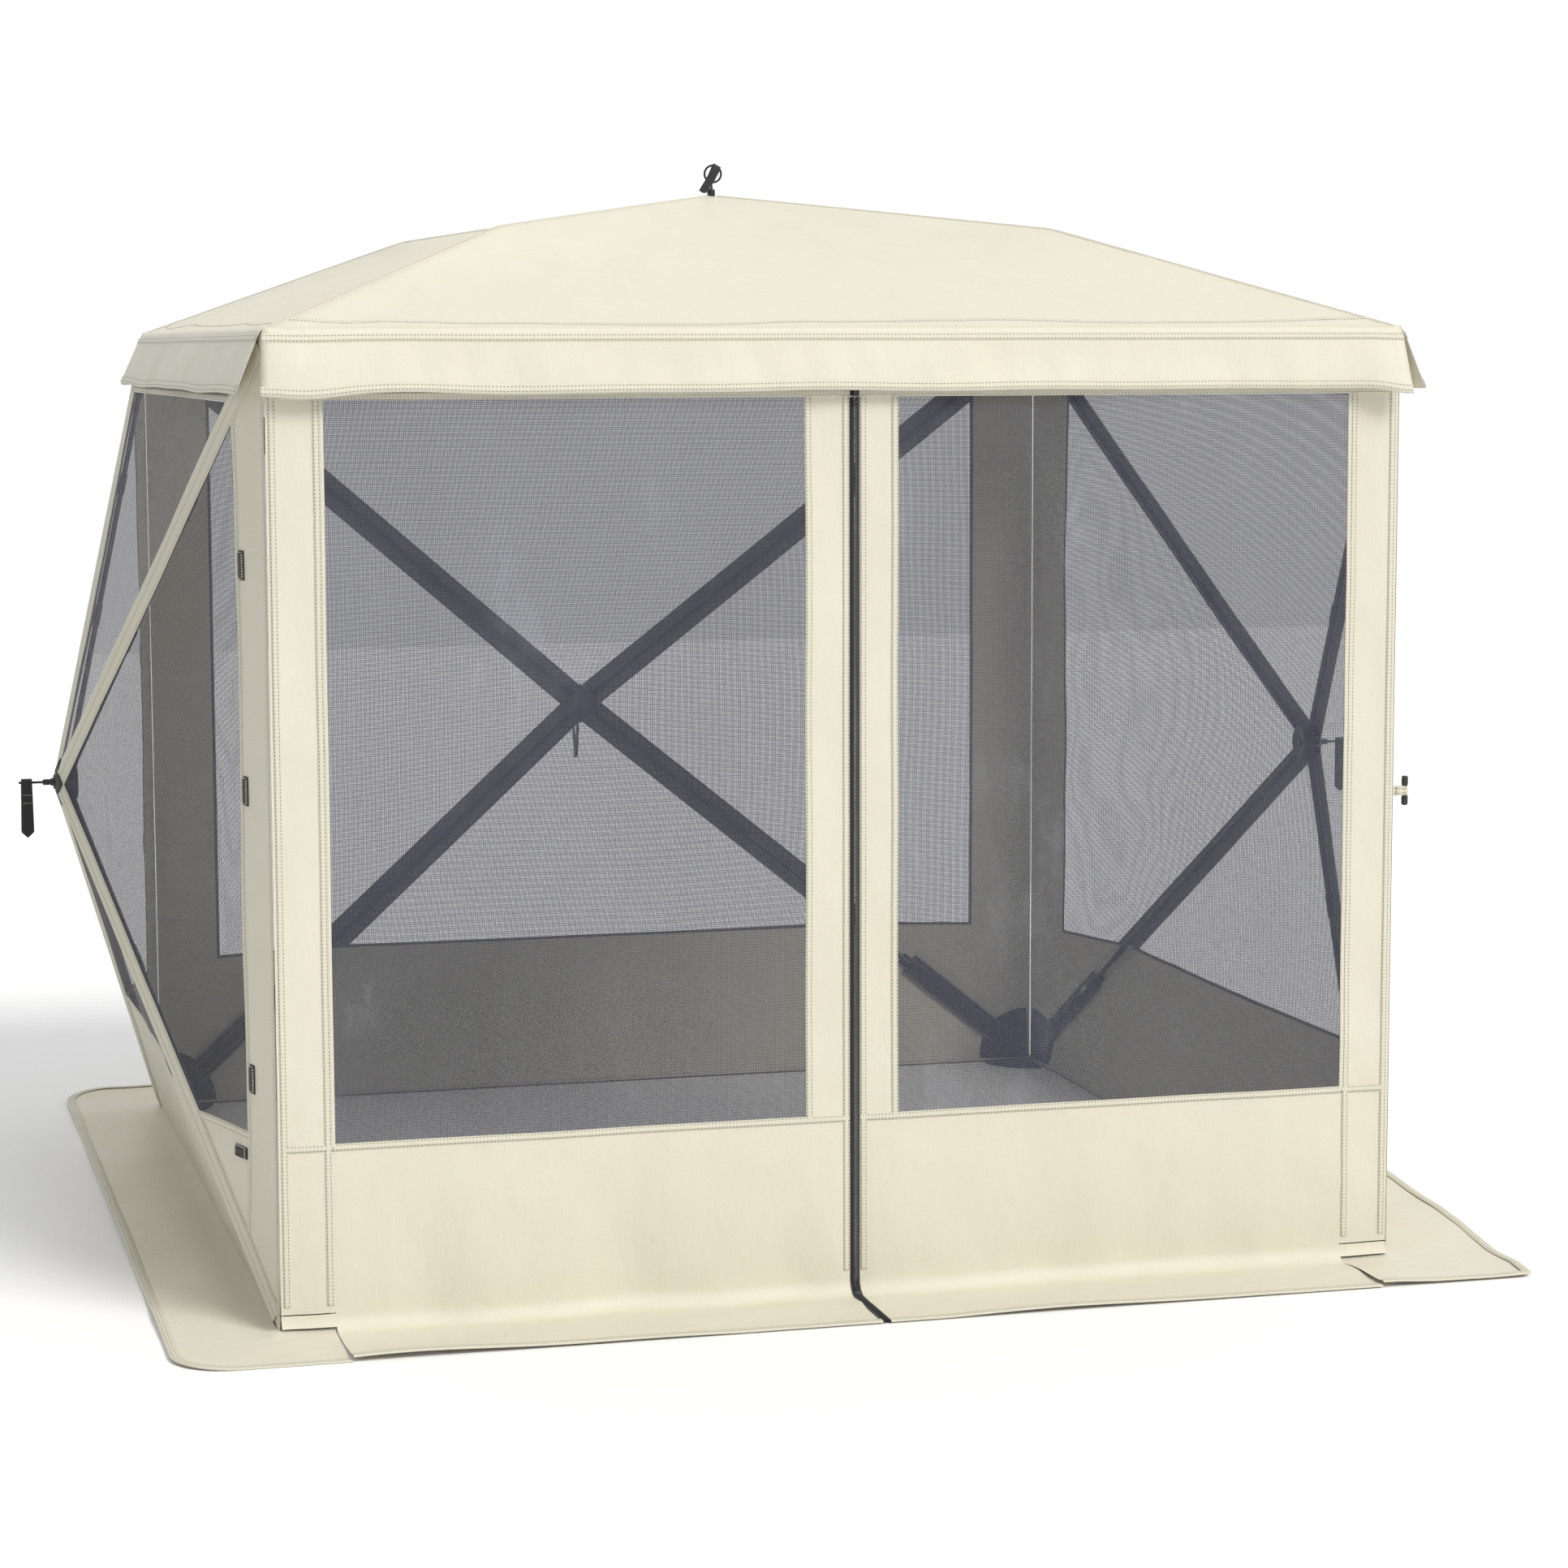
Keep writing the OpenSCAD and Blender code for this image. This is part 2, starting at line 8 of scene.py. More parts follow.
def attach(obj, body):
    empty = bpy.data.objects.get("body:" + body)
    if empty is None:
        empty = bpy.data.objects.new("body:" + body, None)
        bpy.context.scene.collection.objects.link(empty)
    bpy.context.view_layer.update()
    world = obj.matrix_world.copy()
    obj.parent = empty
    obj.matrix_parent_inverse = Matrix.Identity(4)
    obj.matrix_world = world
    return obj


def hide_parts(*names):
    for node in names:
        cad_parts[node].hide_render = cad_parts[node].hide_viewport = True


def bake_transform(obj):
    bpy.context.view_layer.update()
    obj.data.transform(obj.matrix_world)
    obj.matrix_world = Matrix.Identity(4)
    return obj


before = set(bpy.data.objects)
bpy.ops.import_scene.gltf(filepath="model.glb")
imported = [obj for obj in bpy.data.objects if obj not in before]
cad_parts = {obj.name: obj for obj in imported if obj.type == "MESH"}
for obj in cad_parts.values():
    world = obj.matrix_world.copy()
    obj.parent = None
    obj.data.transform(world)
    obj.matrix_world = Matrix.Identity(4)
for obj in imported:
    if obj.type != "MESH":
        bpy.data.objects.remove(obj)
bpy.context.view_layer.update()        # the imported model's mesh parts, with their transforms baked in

SH = 0.0777                          # the footprint's centre is at y = -SH
W, E, H, D, PK = 1.045, 1.750, 0.870, 0.292, 2.022
KW, KZ = 0.543, 1.941                # where the roof poles bend
UC, ZS, HEAD = 0.907, 0.330, 1.630
AU, AL = math.atan2(E - H, W), math.atan2(H, W)
WALLA = {"left": -90, "back": 180, "right": 90, "front": 0}
scene = bpy.context.scene


# ---------------------------------------------------------------- camera
def make_camera():
    yaw, pitch, roll = 0.26202, 0.1152, -0.0027966
    f = Vector((math.sin(yaw) * math.cos(pitch), math.cos(yaw) * math.cos(pitch), -math.sin(pitch)))
    r = Vector((math.cos(yaw), -math.sin(yaw), 0))
    u = r.cross(f)
    r2 = math.cos(roll) * r + math.sin(roll) * u
    u2 = -math.sin(roll) * r + math.cos(roll) * u
    m = Matrix(((r2.x, u2.x, -f.x, -1.8596), (r2.y, u2.y, -f.y, -7.4912 - SH), (r2.z, u2.z, -f.z, 1.7145), (0, 0, 0, 1)))
    cam = bpy.data.cameras.new("view_camera")
    cam.lens, cam.sensor_width, cam.sensor_height = 86.5, 36.0, 36.0
    cam.clip_end = 60
    ob = bpy.data.objects.new("view_camera", cam)
    scene.collection.objects.link(ob)
    ob.matrix_world = m
    scene.camera = ob


make_camera()


# ---------------------------------------------------------------- materials
class NT:
    """Small helper that builds a node tree."""
    def __init__(self, name):
        self.m = bpy.data.materials.new(name)
        self.m.use_nodes = True
        self.t = self.m.node_tree
        for n in list(self.t.nodes):
            self.t.nodes.remove(n)
        self.out = self.t.nodes.new("ShaderNodeOutputMaterial")
        self.p = self.t.nodes.new("ShaderNodeBsdfPrincipled")
        self.t.links.new(self.p.outputs[0], self.out.inputs[0])

    def n(self, kind, **kw):
        x = self.t.nodes.new(kind)
        for k, v in kw.items():
            setattr(x, k, v)
        return x

    def link(self, a, b):
        self.t.links.new(a, b)

    def math(self, op, a, b=None, c=None, clamp=False):
        x = self.n("ShaderNodeMath", operation=op, use_clamp=clamp)
        for i, v in enumerate((a, b, c)):
            if v is None:
                continue
            if isinstance(v, (int, float)):
                x.inputs[i].default_value = v
            else:
                self.link(v, x.inputs[i])
        return x.outputs[0]

    def noise(self, vec, scale, detail=3.0, rough=0.5):
        x = self.n("ShaderNodeTexNoise")
        x.inputs["Scale"].default_value = scale
        x.inputs["Detail"].default_value = detail
        x.inputs["Roughness"].default_value = rough
        self.link(vec, x.inputs["Vector"])
        return x.outputs[0]

    def uv(self):
        x = self.n("ShaderNodeUVMap")
        x.uv_map = "m"
        s = self.n("ShaderNodeSeparateXYZ")
        self.link(x.outputs[0], s.inputs[0])
        return x.outputs[0], s.outputs[0], s.outputs[1]

    def obj(self):
        return self.n("ShaderNodeTexCoord").outputs["Object"]

    def stretch(self, vec, sx, sy, sz):
        x = self.n("ShaderNodeMapping")
        x.inputs["Scale"].default_value = (sx, sy, sz)
        self.link(vec, x.inputs[0])
        return x.outputs[0]

    def mix(self, fac, a, b):
        x = self.n("ShaderNodeMix", data_type="RGBA")
        if isinstance(fac, (int, float)):
            x.inputs[0].default_value = fac
        else:
            self.link(fac, x.inputs[0])
        for i, v in ((6, a), (7, b)):
            if isinstance(v, tuple):
                x.inputs[i].default_value = (*v, 1) if len(v) == 3 else v
            else:
                self.link(v, x.inputs[i])
        return x.outputs[2]

    def ramp(self, fac, *stops):
        x = self.n("ShaderNodeValToRGB")
        e = x.color_ramp.elements
        while len(e) < len(stops):
            e.new(0.5)
        for el, (pos, col) in zip(e, stops):
            el.position = pos
            el.color = (*col, 1) if len(col) == 3 else col
        self.link(fac, x.inputs[0])
        return x.outputs[0]

    def bump(self, height, strength, dist, chain=None):
        x = self.n("ShaderNodeBump")
        x.inputs["Strength"].default_value = strength
        x.inputs["Distance"].default_value = dist
        self.link(height, x.inputs["Height"])
        if chain is not None:
            self.link(chain, x.inputs["Normal"])
        return x.outputs[0]

    def set(self, **kw):
        for k, v in kw.items():
            s = self.p.inputs[k.replace("_", " ")]
            if hasattr(v, "is_linked") or hasattr(v, "links"):
                self.link(v, s)
            else:
                s.default_value = v
        return self.m


def weave(q, u, v, period, depth=0.9):
    """Plain weave: over-and-under threads from the cloth's own coordinates, in metres."""
    a = q.math("SINE", q.math("MULTIPLY", u, 2 * math.pi / period))
    b = q.math("SINE", q.math("MULTIPLY", v, 2 * math.pi / period))
    return q.math("MULTIPLY", q.math("MULTIPLY", a, b), depth)


def cloth_material(name, c1, c2, dark=False):
    q = NT(name)
    uvv, u, v = q.uv()
    o = q.obj()
    big = q.noise(o, 1.3, 4)
    streak = q.noise(q.stretch(o, 9, 9, 1.2), 1.0, 4, 0.6)
    fine = q.noise(o, 900, 2)
    wv = weave(q, u, v, 0.0011)
    base = q.mix(q.math("MULTIPLY", q.math("ADD", big, streak), 0.5), c1, c2)
    rip = q.math("GREATER_THAN", q.math("MAXIMUM", q.math("COSINE", q.math("MULTIPLY", u, 2 * math.pi / 0.0052)),
                                         q.math("COSINE", q.math("MULTIPLY", v, 2 * math.pi / 0.0052))), 0.93)
    base = q.mix(q.math("MULTIPLY", rip, 0.05), base, tuple(x * 0.8 for x in c1))
    soil = q.ramp(q.noise(o, 5.0, 5, 0.65), (0.35, (1, 1, 1)), (0.9, (0.93, 0.915, 0.88)))
    mul = q.n("ShaderNodeMix", data_type="RGBA", blend_type="MULTIPLY")
    mul.inputs[0].default_value = 0.55
    q.link(base, mul.inputs[6])
    q.link(soil, mul.inputs[7])
    b = q.bump(wv, 0.25, 0.0003)
    b = q.bump(rip, 0.15, 0.0002, b)
    b = q.bump(q.noise(q.stretch(o, 16, 16, 9), 1.0, 5, 0.55), 0.55, 0.006, b)
    rr = q.math("MULTIPLY_ADD", q.noise(o, 12, 3), 0.22, 0.42)
    q.set(Base_Color=mul.outputs[2], Roughness=rr, Normal=b, Sheen_Weight=0.12, Sheen_Roughness=0.4, Specular_IOR_Level=0.42)
    return q.m


CREAM = cloth_material("cream_cloth", (0.685, 0.655, 0.530), (0.725, 0.692, 0.575))


def seam_material(name, c, thread, rows=((-0.0042,), (0.0042,)), pitch=0.0065, tw=0.0008):
    """Felled seam: cloth with rows of lock stitches from its own length and width."""
    q = NT(name)
    uvv, u, v = q.uv()
    o = q.obj()
    wv = weave(q, u, v, 0.0011)
    phase = q.math("FRACT", q.math("DIVIDE", u, pitch))
    on = q.math("LESS_THAN", phase, 0.58)
    tot = None
    for r in rows:
        d = q.math("ABSOLUTE", q.math("SUBTRACT", v, r[0]))
        k = q.math("MULTIPLY", q.math("LESS_THAN", d, tw), on)
        tot = k if tot is None else q.math("MAXIMUM", tot, k)
    pucker = q.math("SINE", q.math("MULTIPLY", u, 2 * math.pi / pitch))
    base = q.mix(q.noise(o, 2.5, 4), c, tuple(x * 0.94 for x in c))
    base = q.mix(tot, base, thread)
    b = q.bump(wv, 0.25, 0.0003)
    b = q.bump(q.math("MULTIPLY", pucker, 0.5), 0.3, 0.0006, b)
    b = q.bump(tot, 0.6, 0.0006, b)
    q.set(Base_Color=base, Roughness=q.math("MULTIPLY_ADD", q.noise(o, 30, 3), 0.2, 0.5), Normal=b, Sheen_Weight=0.1)
    return q.m


SEAM = seam_material("cream_seam", (0.685, 0.655, 0.530), (0.27, 0.25, 0.20))
HEM = seam_material("cream_hem", (0.670, 0.640, 0.515), (0.29, 0.27, 0.22), rows=((-0.0015,), (0.0045,)))
BAND = seam_material("cream_pole_band", (0.670, 0.642, 0.520), (0.29, 0.27, 0.22), rows=((-0.0285,), (0.0285,), (-0.0105,), (0.0105,)), tw=0.0008)


def net_material():
    q = NT("netting")
    uvv, u, v = q.uv()
    o = q.obj()
    per = 0.0032
    a = q.math("ABSOLUTE", q.math("SUBTRACT", q.math("FRACT", q.math("DIVIDE", u, per)), 0.5))
    b = q.math("ABSOLUTE", q.math("SUBTRACT", q.math("FRACT", q.math("DIVIDE", v, per)), 0.5))
    thread = q.math("MAXIMUM", q.math("GREATER_THAN", a, 0.345), q.math("GREATER_THAN", b, 0.345))
    # painted sheen: stretched noise lifts the thread colour to a pale blue-grey highlight, standing in for light
    # glancing off wrinkles in the netting
    painted_sheen = q.noise(q.stretch(o, 5, 5, 2.2), 1.0, 4, 0.7)
    col = q.ramp(painted_sheen, (0.30, (0.066, 0.070, 0.096)), (0.62, (0.084, 0.089, 0.120)), (0.82, (0.19, 0.20, 0.245)))
    bp = q.bump(q.math("MAXIMUM", a, b), 0.6, 0.0006)
    q.set(Base_Color=col, Roughness=q.math("MULTIPLY_ADD", q.noise(o, 40, 3), 0.2, 0.5), Normal=bp, Alpha=q.math("MULTIPLY_ADD", thread, 0.60, 0.22), Sheen_Weight=0.1, Specular_IOR_Level=0.3)
    return q.m


NET = net_material()


def dark_material(name, base, base2, rough, kind="plastic", coat=0.0, metal=0.0, spec=0.5):
    q = NT(name)
    o = q.obj()
    uvv, u, v = q.uv()
    n = q.noise(o, 60, 4)
    col = q.mix(n, base, base2)
    if kind == "webbing":
        rib = q.math("SINE", q.math("MULTIPLY", v, 2 * math.pi / 0.0022))
        tw = q.math("SINE", q.math("MULTIPLY", q.math("ADD", u, v), 2 * math.pi / 0.0016))
        col = q.mix(q.math("MULTIPLY_ADD", rib, 0.25, 0.25), base, base2)
        b = q.bump(rib, 0.5, 0.0005)
        b = q.bump(tw, 0.3, 0.0003, b)
    elif kind == "oxford":
        b = q.bump(weave(q, u, v, 0.0014), 0.5, 0.0004)
        b = q.bump(q.noise(o, 30, 4), 0.3, 0.002, b)
    elif kind == "rod":
        b = q.bump(q.noise(q.stretch(o, 300, 300, 300), 1.0, 2), 0.05, 0.0002)
    elif kind == "fuzz":
        b = q.bump(q.noise(o, 1400, 3, 0.8), 0.9, 0.0012)
    elif kind == "cord":
        braid = q.math("SINE", q.math("MULTIPLY", q.math("ADD", u, q.math("MULTIPLY", v, 3.0)), 2 * math.pi / 0.003))
        b = q.bump(braid, 0.6, 0.0005)
    else:
        b = q.bump(q.noise(o, 420, 3), 0.12, 0.0004)
    wear = q.noise(o, 18, 4)
    q.set(Base_Color=col, Roughness=q.math("MULTIPLY_ADD", wear, 0.16, rough - 0.08), Normal=b, Coat_Weight=coat, Metallic=metal, Specular_IOR_Level=spec)
    if kind in ("webbing", "oxford", "fuzz"):
        q.set(Sheen_Weight=0.15)
    return q.m


WEB = dark_material("black_webbing", (0.014, 0.014, 0.016), (0.032, 0.032, 0.036), 0.62, "webbing")
OXF = dark_material("black_oxford", (0.012, 0.012, 0.013), (0.026, 0.026, 0.028), 0.66, "oxford")
ROD = dark_material("black_rod", (0.012, 0.012, 0.014), (0.020, 0.020, 0.023), 0.36, "rod", coat=0.35)
FER = dark_material("black_ferrule", (0.030, 0.030, 0.033), (0.045, 0.045, 0.048), 0.30, "plastic", metal=0.6)
PLA = dark_material("black_nylon", (0.016, 0.016, 0.018), (0.028, 0.028, 0.031), 0.38, "plastic")
CORD = dark_material("black_cord", (0.010, 0.010, 0.011), (0.028, 0.028, 0.030), 0.55, "cord")
ZIPM = dark_material("zip_coil", (0.010, 0.010, 0.011), (0.026, 0.026, 0.028), 0.38, "plastic")
ZTAPE = dark_material("zip_tape", (0.012, 0.012, 0.013), (0.028, 0.028, 0.030), 0.7, "webbing")
HOOKM = dark_material("hook_pile", (0.016, 0.016, 0.018), (0.045, 0.044, 0.046), 0.8, "fuzz")
METAL = dark_material("zip_metal", (0.05, 0.05, 0.055), (0.09, 0.09, 0.095), 0.32, "plastic", metal=0.8)
STEEL = dark_material("pin_steel", (0.42, 0.42, 0.44), (0.56, 0.56, 0.58), 0.28, "plastic", metal=1.0)
q = NT("pale_thread")
q.set(Base_Color=(0.52, 0.50, 0.44, 1), Roughness=0.7)
q.link(q.mix(q.noise(q.obj(), 500, 2), (0.46, 0.44, 0.38), (0.6, 0.58, 0.52)), q.p.inputs["Base Color"])
THREAD = q.m


# ---------------------------------------------------------------- mesh helpers
def make(name, P, F, mats, uv=None, mi=None, smooth=True):
    """Mesh object from points, faces, per-point uv in metres and a material index for each face."""
    me = bpy.data.meshes.new(name)
    me.from_pydata([tuple(p) for p in np.asarray(P, float)], [], [tuple(int(i) for i in f) for f in F])
    if not isinstance(mats, (list, tuple)):
        mats = [mats]
    for m in mats:
        me.materials.append(m)
    if mi is not None:
        me.polygons.foreach_set("material_index", np.asarray(mi, np.int32))
    me.polygons.foreach_set("use_smooth", np.full(len(me.polygons), smooth))
    if uv is not None:
        lay = me.uv_layers.new(name="m")
        idx = np.zeros(len(me.loops), np.int32)
        me.loops.foreach_get("vertex_index", idx)
        lay.data.foreach_set("uv", np.asarray(uv, np.float32)[idx].ravel())
    me.update()
    ob = bpy.data.objects.new(name, me)
    scene.collection.objects.link(ob)
    return ob


def grid(P, uv, wrap0=False, wrap1=False):
    """P is (m, n, 3). Returns points, faces and uv."""
    m, n = P.shape[:2]
    F = []
    for i in range(m if wrap0 else m - 1):
        for j in range(n if wrap1 else n - 1):
            a, b = i * n + j, i * n + (j + 1) % n
            c, d = ((i + 1) % m) * n + (j + 1) % n, ((i + 1) % m) * n + j
            F.append((a, b, c, d))
    return P.reshape(-1, 3), F, uv.reshape(-1, 2)


class Bag:
    """Collects pieces into one mesh."""
    def __init__(self):
        self.P, self.F, self.U, self.M, self.n = [], [], [], [], 0

    def add(self, P, F, uv, mi=0):
        P = np.asarray(P, float).reshape(-1, 3)
        self.P.append(P)
        self.U.append(np.asarray(uv, float).reshape(-1, 2))
        self.F += [tuple(int(i) + self.n for i in f) for f in F]
        self.M += [mi] * len(F)
        self.n += len(P)
        return self

    def out(self, name, mats, smooth=True):
        return make(name, np.concatenate(self.P), self.F, mats, np.concatenate(self.U), self.M, smooth)


def smooth_noise(seed, waves, kmin, kmax, aniso=(1, 1)):
    """Fixed sum of sines in two coordinates, about unit size."""
    rng = np.random.RandomState(seed)
    th, k = rng.rand(waves) * 2 * math.pi, np.exp(rng.uniform(math.log(kmin), math.log(kmax), waves))
    ph, am = rng.rand(waves) * 2 * math.pi, (k / kmin) ** -0.7
    am = am / math.sqrt((am ** 2).sum() / 2)
    kx, ky = k * np.cos(th) * aniso[0], k * np.sin(th) * aniso[1]

    def f(a, b):
        a, b = np.asarray(a, float), np.asarray(b, float)
        r = np.zeros(np.broadcast(a, b).shape)
        for i in range(waves):
            r = r + am[i] * np.sin(kx[i] * a + ky[i] * b + ph[i])
        return r
    return f


def ridge(f, p=1.6):
    """Turns smooth noise into sharper folds."""
    return lambda a, b: 1 - np.abs(f(a, b)) ** (1 / p) * 1.2


def sstep(a, b, x):
    t = np.clip((np.asarray(x, float) - a) / (b - a), 0, 1)
    return t * t * (3 - 2 * t)


def wallpt(side, u, z, n):
    a = math.radians(WALLA[side])
    c, s = math.cos(a), math.sin(a)
    x, y = np.asarray(u, float), -W - np.asarray(n, float)
    return np.stack([c * x - s * y, s * x + c * y - SH, np.broadcast_to(np.asarray(z, float), np.broadcast(x, y, z).shape) + 0 * x * y], -1)


WN = {k: (smooth_noise(sd, 14, 5, 22), smooth_noise(sd + 50, 16, 14, 60, (1, 0.6))) for k, sd in (("left", 11), ("back", 12), ("right", 13), ("front", 14))}


def wall_n(side, u, z):
    """Outward distance of the cloth on a hub wall, with the hollow between poles and light wrinkles."""
    u, z = np.asarray(u, float), np.asarray(z, float)
    v = np.stack(np.broadcast_arrays(z / H, (E - z) / (E - H), (W - np.abs(u)) / W), 0)
    srt = np.sort(v, 0)
    gap = srt[1] - srt[0]                       # 0 on a ridge
    base = D * srt[0]
    g = 1 - np.exp(-gap / 0.12)
    s = 1 - srt[0]
    hollow = 0.010 * g * np.sin(math.pi * np.clip(s, 0, 1)) ** 0.8
    f, h = WN[side]
    wr = (0.0016 * f(u, z) + 0.0009 * h(u, z)) * g * sstep(0.0, 0.10, s) * sstep(1.0, 0.97, s)
    return base - hollow + wr


def wall_map(side, u, z, dn=0.0):
    return wallpt(side, u, z, wall_n(side, u, z) + dn)


def hub_weight(ob):
    """Bakes the object's transform into its mesh and returns the object."""
    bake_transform(ob)
    return ob


def wall_grid():
    """Flat outline of a hub wall as a polar net about the hub, cut at the panel seams."""
    ns, nt = 34, 26
    zb, zt = 0.004, 1.7475
    per = []
    def edge(a, b, m):
        for k in range(m):
            t = k / m
            per.append((a[0] + (b[0] - a[0]) * t, a[1] + (b[1] - a[1]) * t))
    edge((-W, 0), (W, 0), nt + 6); edge((W, 0), (W, E), nt); edge((W, E), (-W, E), nt + 6); edge((-W, E), (-W, 0), nt)
    per = np.array(per)
    ss = np.linspace(0.0115, 1, ns + 1)
    P = np.array([[(per[j, 0] * s, H + (per[j, 1] - H) * s) for j in range(len(per))] for s in ss])
    n = len(per)
    P3 = np.concatenate([P, np.zeros(P.shape[:2] + (1,))], -1)
    pts, F, _ = grid(P3, P, wrap1=True)
    bm = bmesh.new()
    vs = [bm.verts.new(tuple(p)) for p in pts]
    for f in F:
        bm.faces.new([vs[i] for i in f])
    for pc, no in (((0, ZS, 0), (0, 1, 0)), ((0, HEAD, 0), (0, 1, 0)), ((UC, 0, 0), (1, 0, 0)), ((-UC, 0, 0), (1, 0, 0))):
        bmesh.ops.bisect_plane(bm, geom=bm.verts[:] + bm.edges[:] + bm.faces[:], plane_co=pc, plane_no=no, dist=1e-6)
    for pc, no in (((0, zb, 0), (0, -1, 0)), ((0, zt, 0), (0, 1, 0)), ((W - 0.0012, 0, 0), (1, 0, 0)), ((-W + 0.0012, 0, 0), (-1, 0, 0))):
        bmesh.ops.bisect_plane(bm, geom=bm.verts[:] + bm.edges[:] + bm.faces[:], plane_co=pc, plane_no=no, dist=1e-6, clear_outer=True)
    bm.verts.index_update()
    co = np.array([(v.co.x, v.co.y) for v in bm.verts])
    faces = [[v.index for v in f.verts] for f in bm.faces]
    bm.free()
    net, solid = [], []
    for f in faces:
        c = co[f].mean(0)
        (net if ZS < c[1] < HEAD and abs(c[0]) < UC else solid).append(f)
    def sub(fs):
        used = sorted(set(i for f in fs for i in f))
        m = {k: i for i, k in enumerate(used)}
        return co[used], [[m[i] for i in f] for f in fs]
    return sub(net), sub(solid)


(NETUV, NETF), (SOLUV, SOLF) = wall_grid()


def strip_on(side, path, width, prof, step=0.03):
    """Strip laid on a wall along a path in (u, z). prof is a list of (across, lift) with across from -0.5 to 0.5."""
    path = np.asarray(path, float)
    seg = np.linalg.norm(np.diff(path, axis=0), axis=1)
    L = np.concatenate([[0], np.cumsum(seg)])
    n = max(2, int(L[-1] / step) + 1)
    t = np.linspace(0, L[-1], n)
    x = np.stack([np.interp(t, L, path[:, 0]), np.interp(t, L, path[:, 1])], -1)
    d = np.gradient(x, axis=0)
    d /= np.linalg.norm(d, axis=1)[:, None]
    nn = np.stack([-d[:, 1], d[:, 0]], -1)
    ac = np.array([p[0] for p in prof]) * width
    lf = np.array([p[1] for p in prof])
    uz = x[:, None, :] + nn[:, None, :] * ac[None, :, None]
    uz = np.clip(uz, (-W + 0.0016, 0.0045), (W - 0.0016, 1.7475))
    if side == "front":
        P = front_map(uz[..., 0], uz[..., 1], lf[None, :])
    else:
        P = wall_map(side, uz[..., 0], uz[..., 1], lf[None, :])
    uv = np.stack(np.broadcast_arrays(t[:, None], ac[None, :]), -1)
    return P, uv, uz


SEAMP = [(-0.5, 0.0002), (-0.46, 0.0013), (-0.2, 0.0017), (0.2, 0.0017), (0.46, 0.0013), (0.5, 0.0002)]
BANDP = [(-0.5, 0.0006), (-0.49, 0.0018), (-0.34, 0.0020), (-0.17, 0.0022), (-0.06, 0.0034), (0.0, 0.0038), (0.06, 0.0034), (0.17, 0.0022), (0.34, 0.0020), (0.49, 0.0018), (0.5, 0.0006)]


def roof_share(x, y):
    """Share of the roof hub's travel that the cloth takes over a point, the same as the pole's below it."""
    m = np.maximum(np.abs(x), np.abs(y)) / W
    return np.clip((1.418 - 1.478 * m) / 1.392, 0, 1)


def hub_wall(side):
    P = wall_map(side, NETUV[:, 0], NETUV[:, 1])
    ob = make(side + "_netting", P, NETF, NET, NETUV)
    hub_weight(ob)
    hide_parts(side + "_wall_mesh")
    P = wall_map(side, SOLUV[:, 0], SOLUV[:, 1])
    ob = make(side + "_wall_cloth", P, SOLF, CREAM, SOLUV)
    hub_weight(ob)
    b, uzs = Bag(), []
    W2 = W - 0.010
    for path, wd in (([(-UC, 0.12), (-UC, HEAD + 0.004)], 0.014), ([(UC, 0.12), (UC, HEAD + 0.004)], 0.014),
                     ([(-UC, ZS), (UC, ZS)], 0.014), ([(-UC, HEAD), (UC, HEAD)], 0.014),
                     ([(-W2, 0.03), (-W2, 1.74)], 0.012), ([(W2, 0.03), (W2, 1.74)], 0.012)):
        P, uv, uz = strip_on(side, path, wd, SEAMP)
        p, f, uu = grid(P, uv)
        b.add(p, f, uu)
        uzs.append(uz.reshape(-1, 2))
    ob = b.out(side + "_wall_seams", SEAM)
    hub_weight(ob)
    b, uzs = Bag(), []
    for k, a in enumerate((AU, math.pi - AU, math.pi + AL, -AL)):
        r1 = 1.335 if k < 2 else 1.328
        d = np.array([math.cos(a), math.sin(a)])
        P, uv, uz = strip_on(side, [d * 0.030 + (0, H), d * r1 + (0, H)], 0.064, BANDP, 0.035)
        p, f, uu = grid(P, uv)
        b.add(p, f, uu)
        uzs.append(uz.reshape(-1, 2))
    ob = b.out(side + "_pole_bands", BAND)
    hub_weight(ob)
    return ob


POLES = {"left": ["upper_front", "upper_back", "lower_back", "lower_front"],
         "right": ["upper_back", "upper_front", "lower_front", "lower_back"],
         "back": ["upper_left", "upper_right", "lower_right", "lower_left"],
         "roof": ["back_right", "back_left", "front_left", "front_right"]}


# ---------------------------------------------------------------- front wall
def front_n(x, z):
    """Outward distance of the front wall's cloth: slack, vertical folds near the foot, light wrinkles."""
    x, z = np.asarray(x, float), np.asarray(z, float)
    f, h = WN["front"]
    low = sstep(0.36, 0.05, z)
    n = 0.0022 * f(x * 1.0, z * 0.8) + 0.0010 * h(x, z)
    n = n + 0.0045 * low * VF(x, z * 0.25) + 0.0016 * FOLD(x, z)
    edge = sstep(0.0, 0.05, 1.0424 - np.abs(x)) * sstep(0.0, 0.06, 1.747 - z) * sstep(0.0, 0.03, np.abs(x))
    zipc = sstep(0.0, 0.10, np.abs(x))
    return n * edge * (0.25 + 0.75 * zipc)


VF = smooth_noise(31, 12, 12, 45, (1, 0.3))
FOLD = ridge(smooth_noise(32, 10, 9, 26, (0.8, 1.0)))


def front_map(x, z, dn=0.0):
    """Front cloth: flat wall moved outward by front_n; the soft curve into the ground skirt is built by front_low."""
    x, z = np.asarray(x, float), np.asarray(z, float)
    return wallpt("front", x, z, front_n(x, z) + dn)


def front_profile(nz):
    """(z, outward, length) down the lower panel, round the foot and out along the skirt."""
    R = 0.030
    pts = []
    for z in np.linspace(ZS, 0.004 + R, 12):
        pts.append((z, 0.0))
    for a in np.linspace(0, math.pi / 2, 7)[1:]:
        pts.append((0.004 + R - R * math.sin(a), R - R * math.cos(a)))
    for o in np.linspace(R, 0.205, 9)[1:]:
        pts.append((0.004, o))
    return np.array(pts)


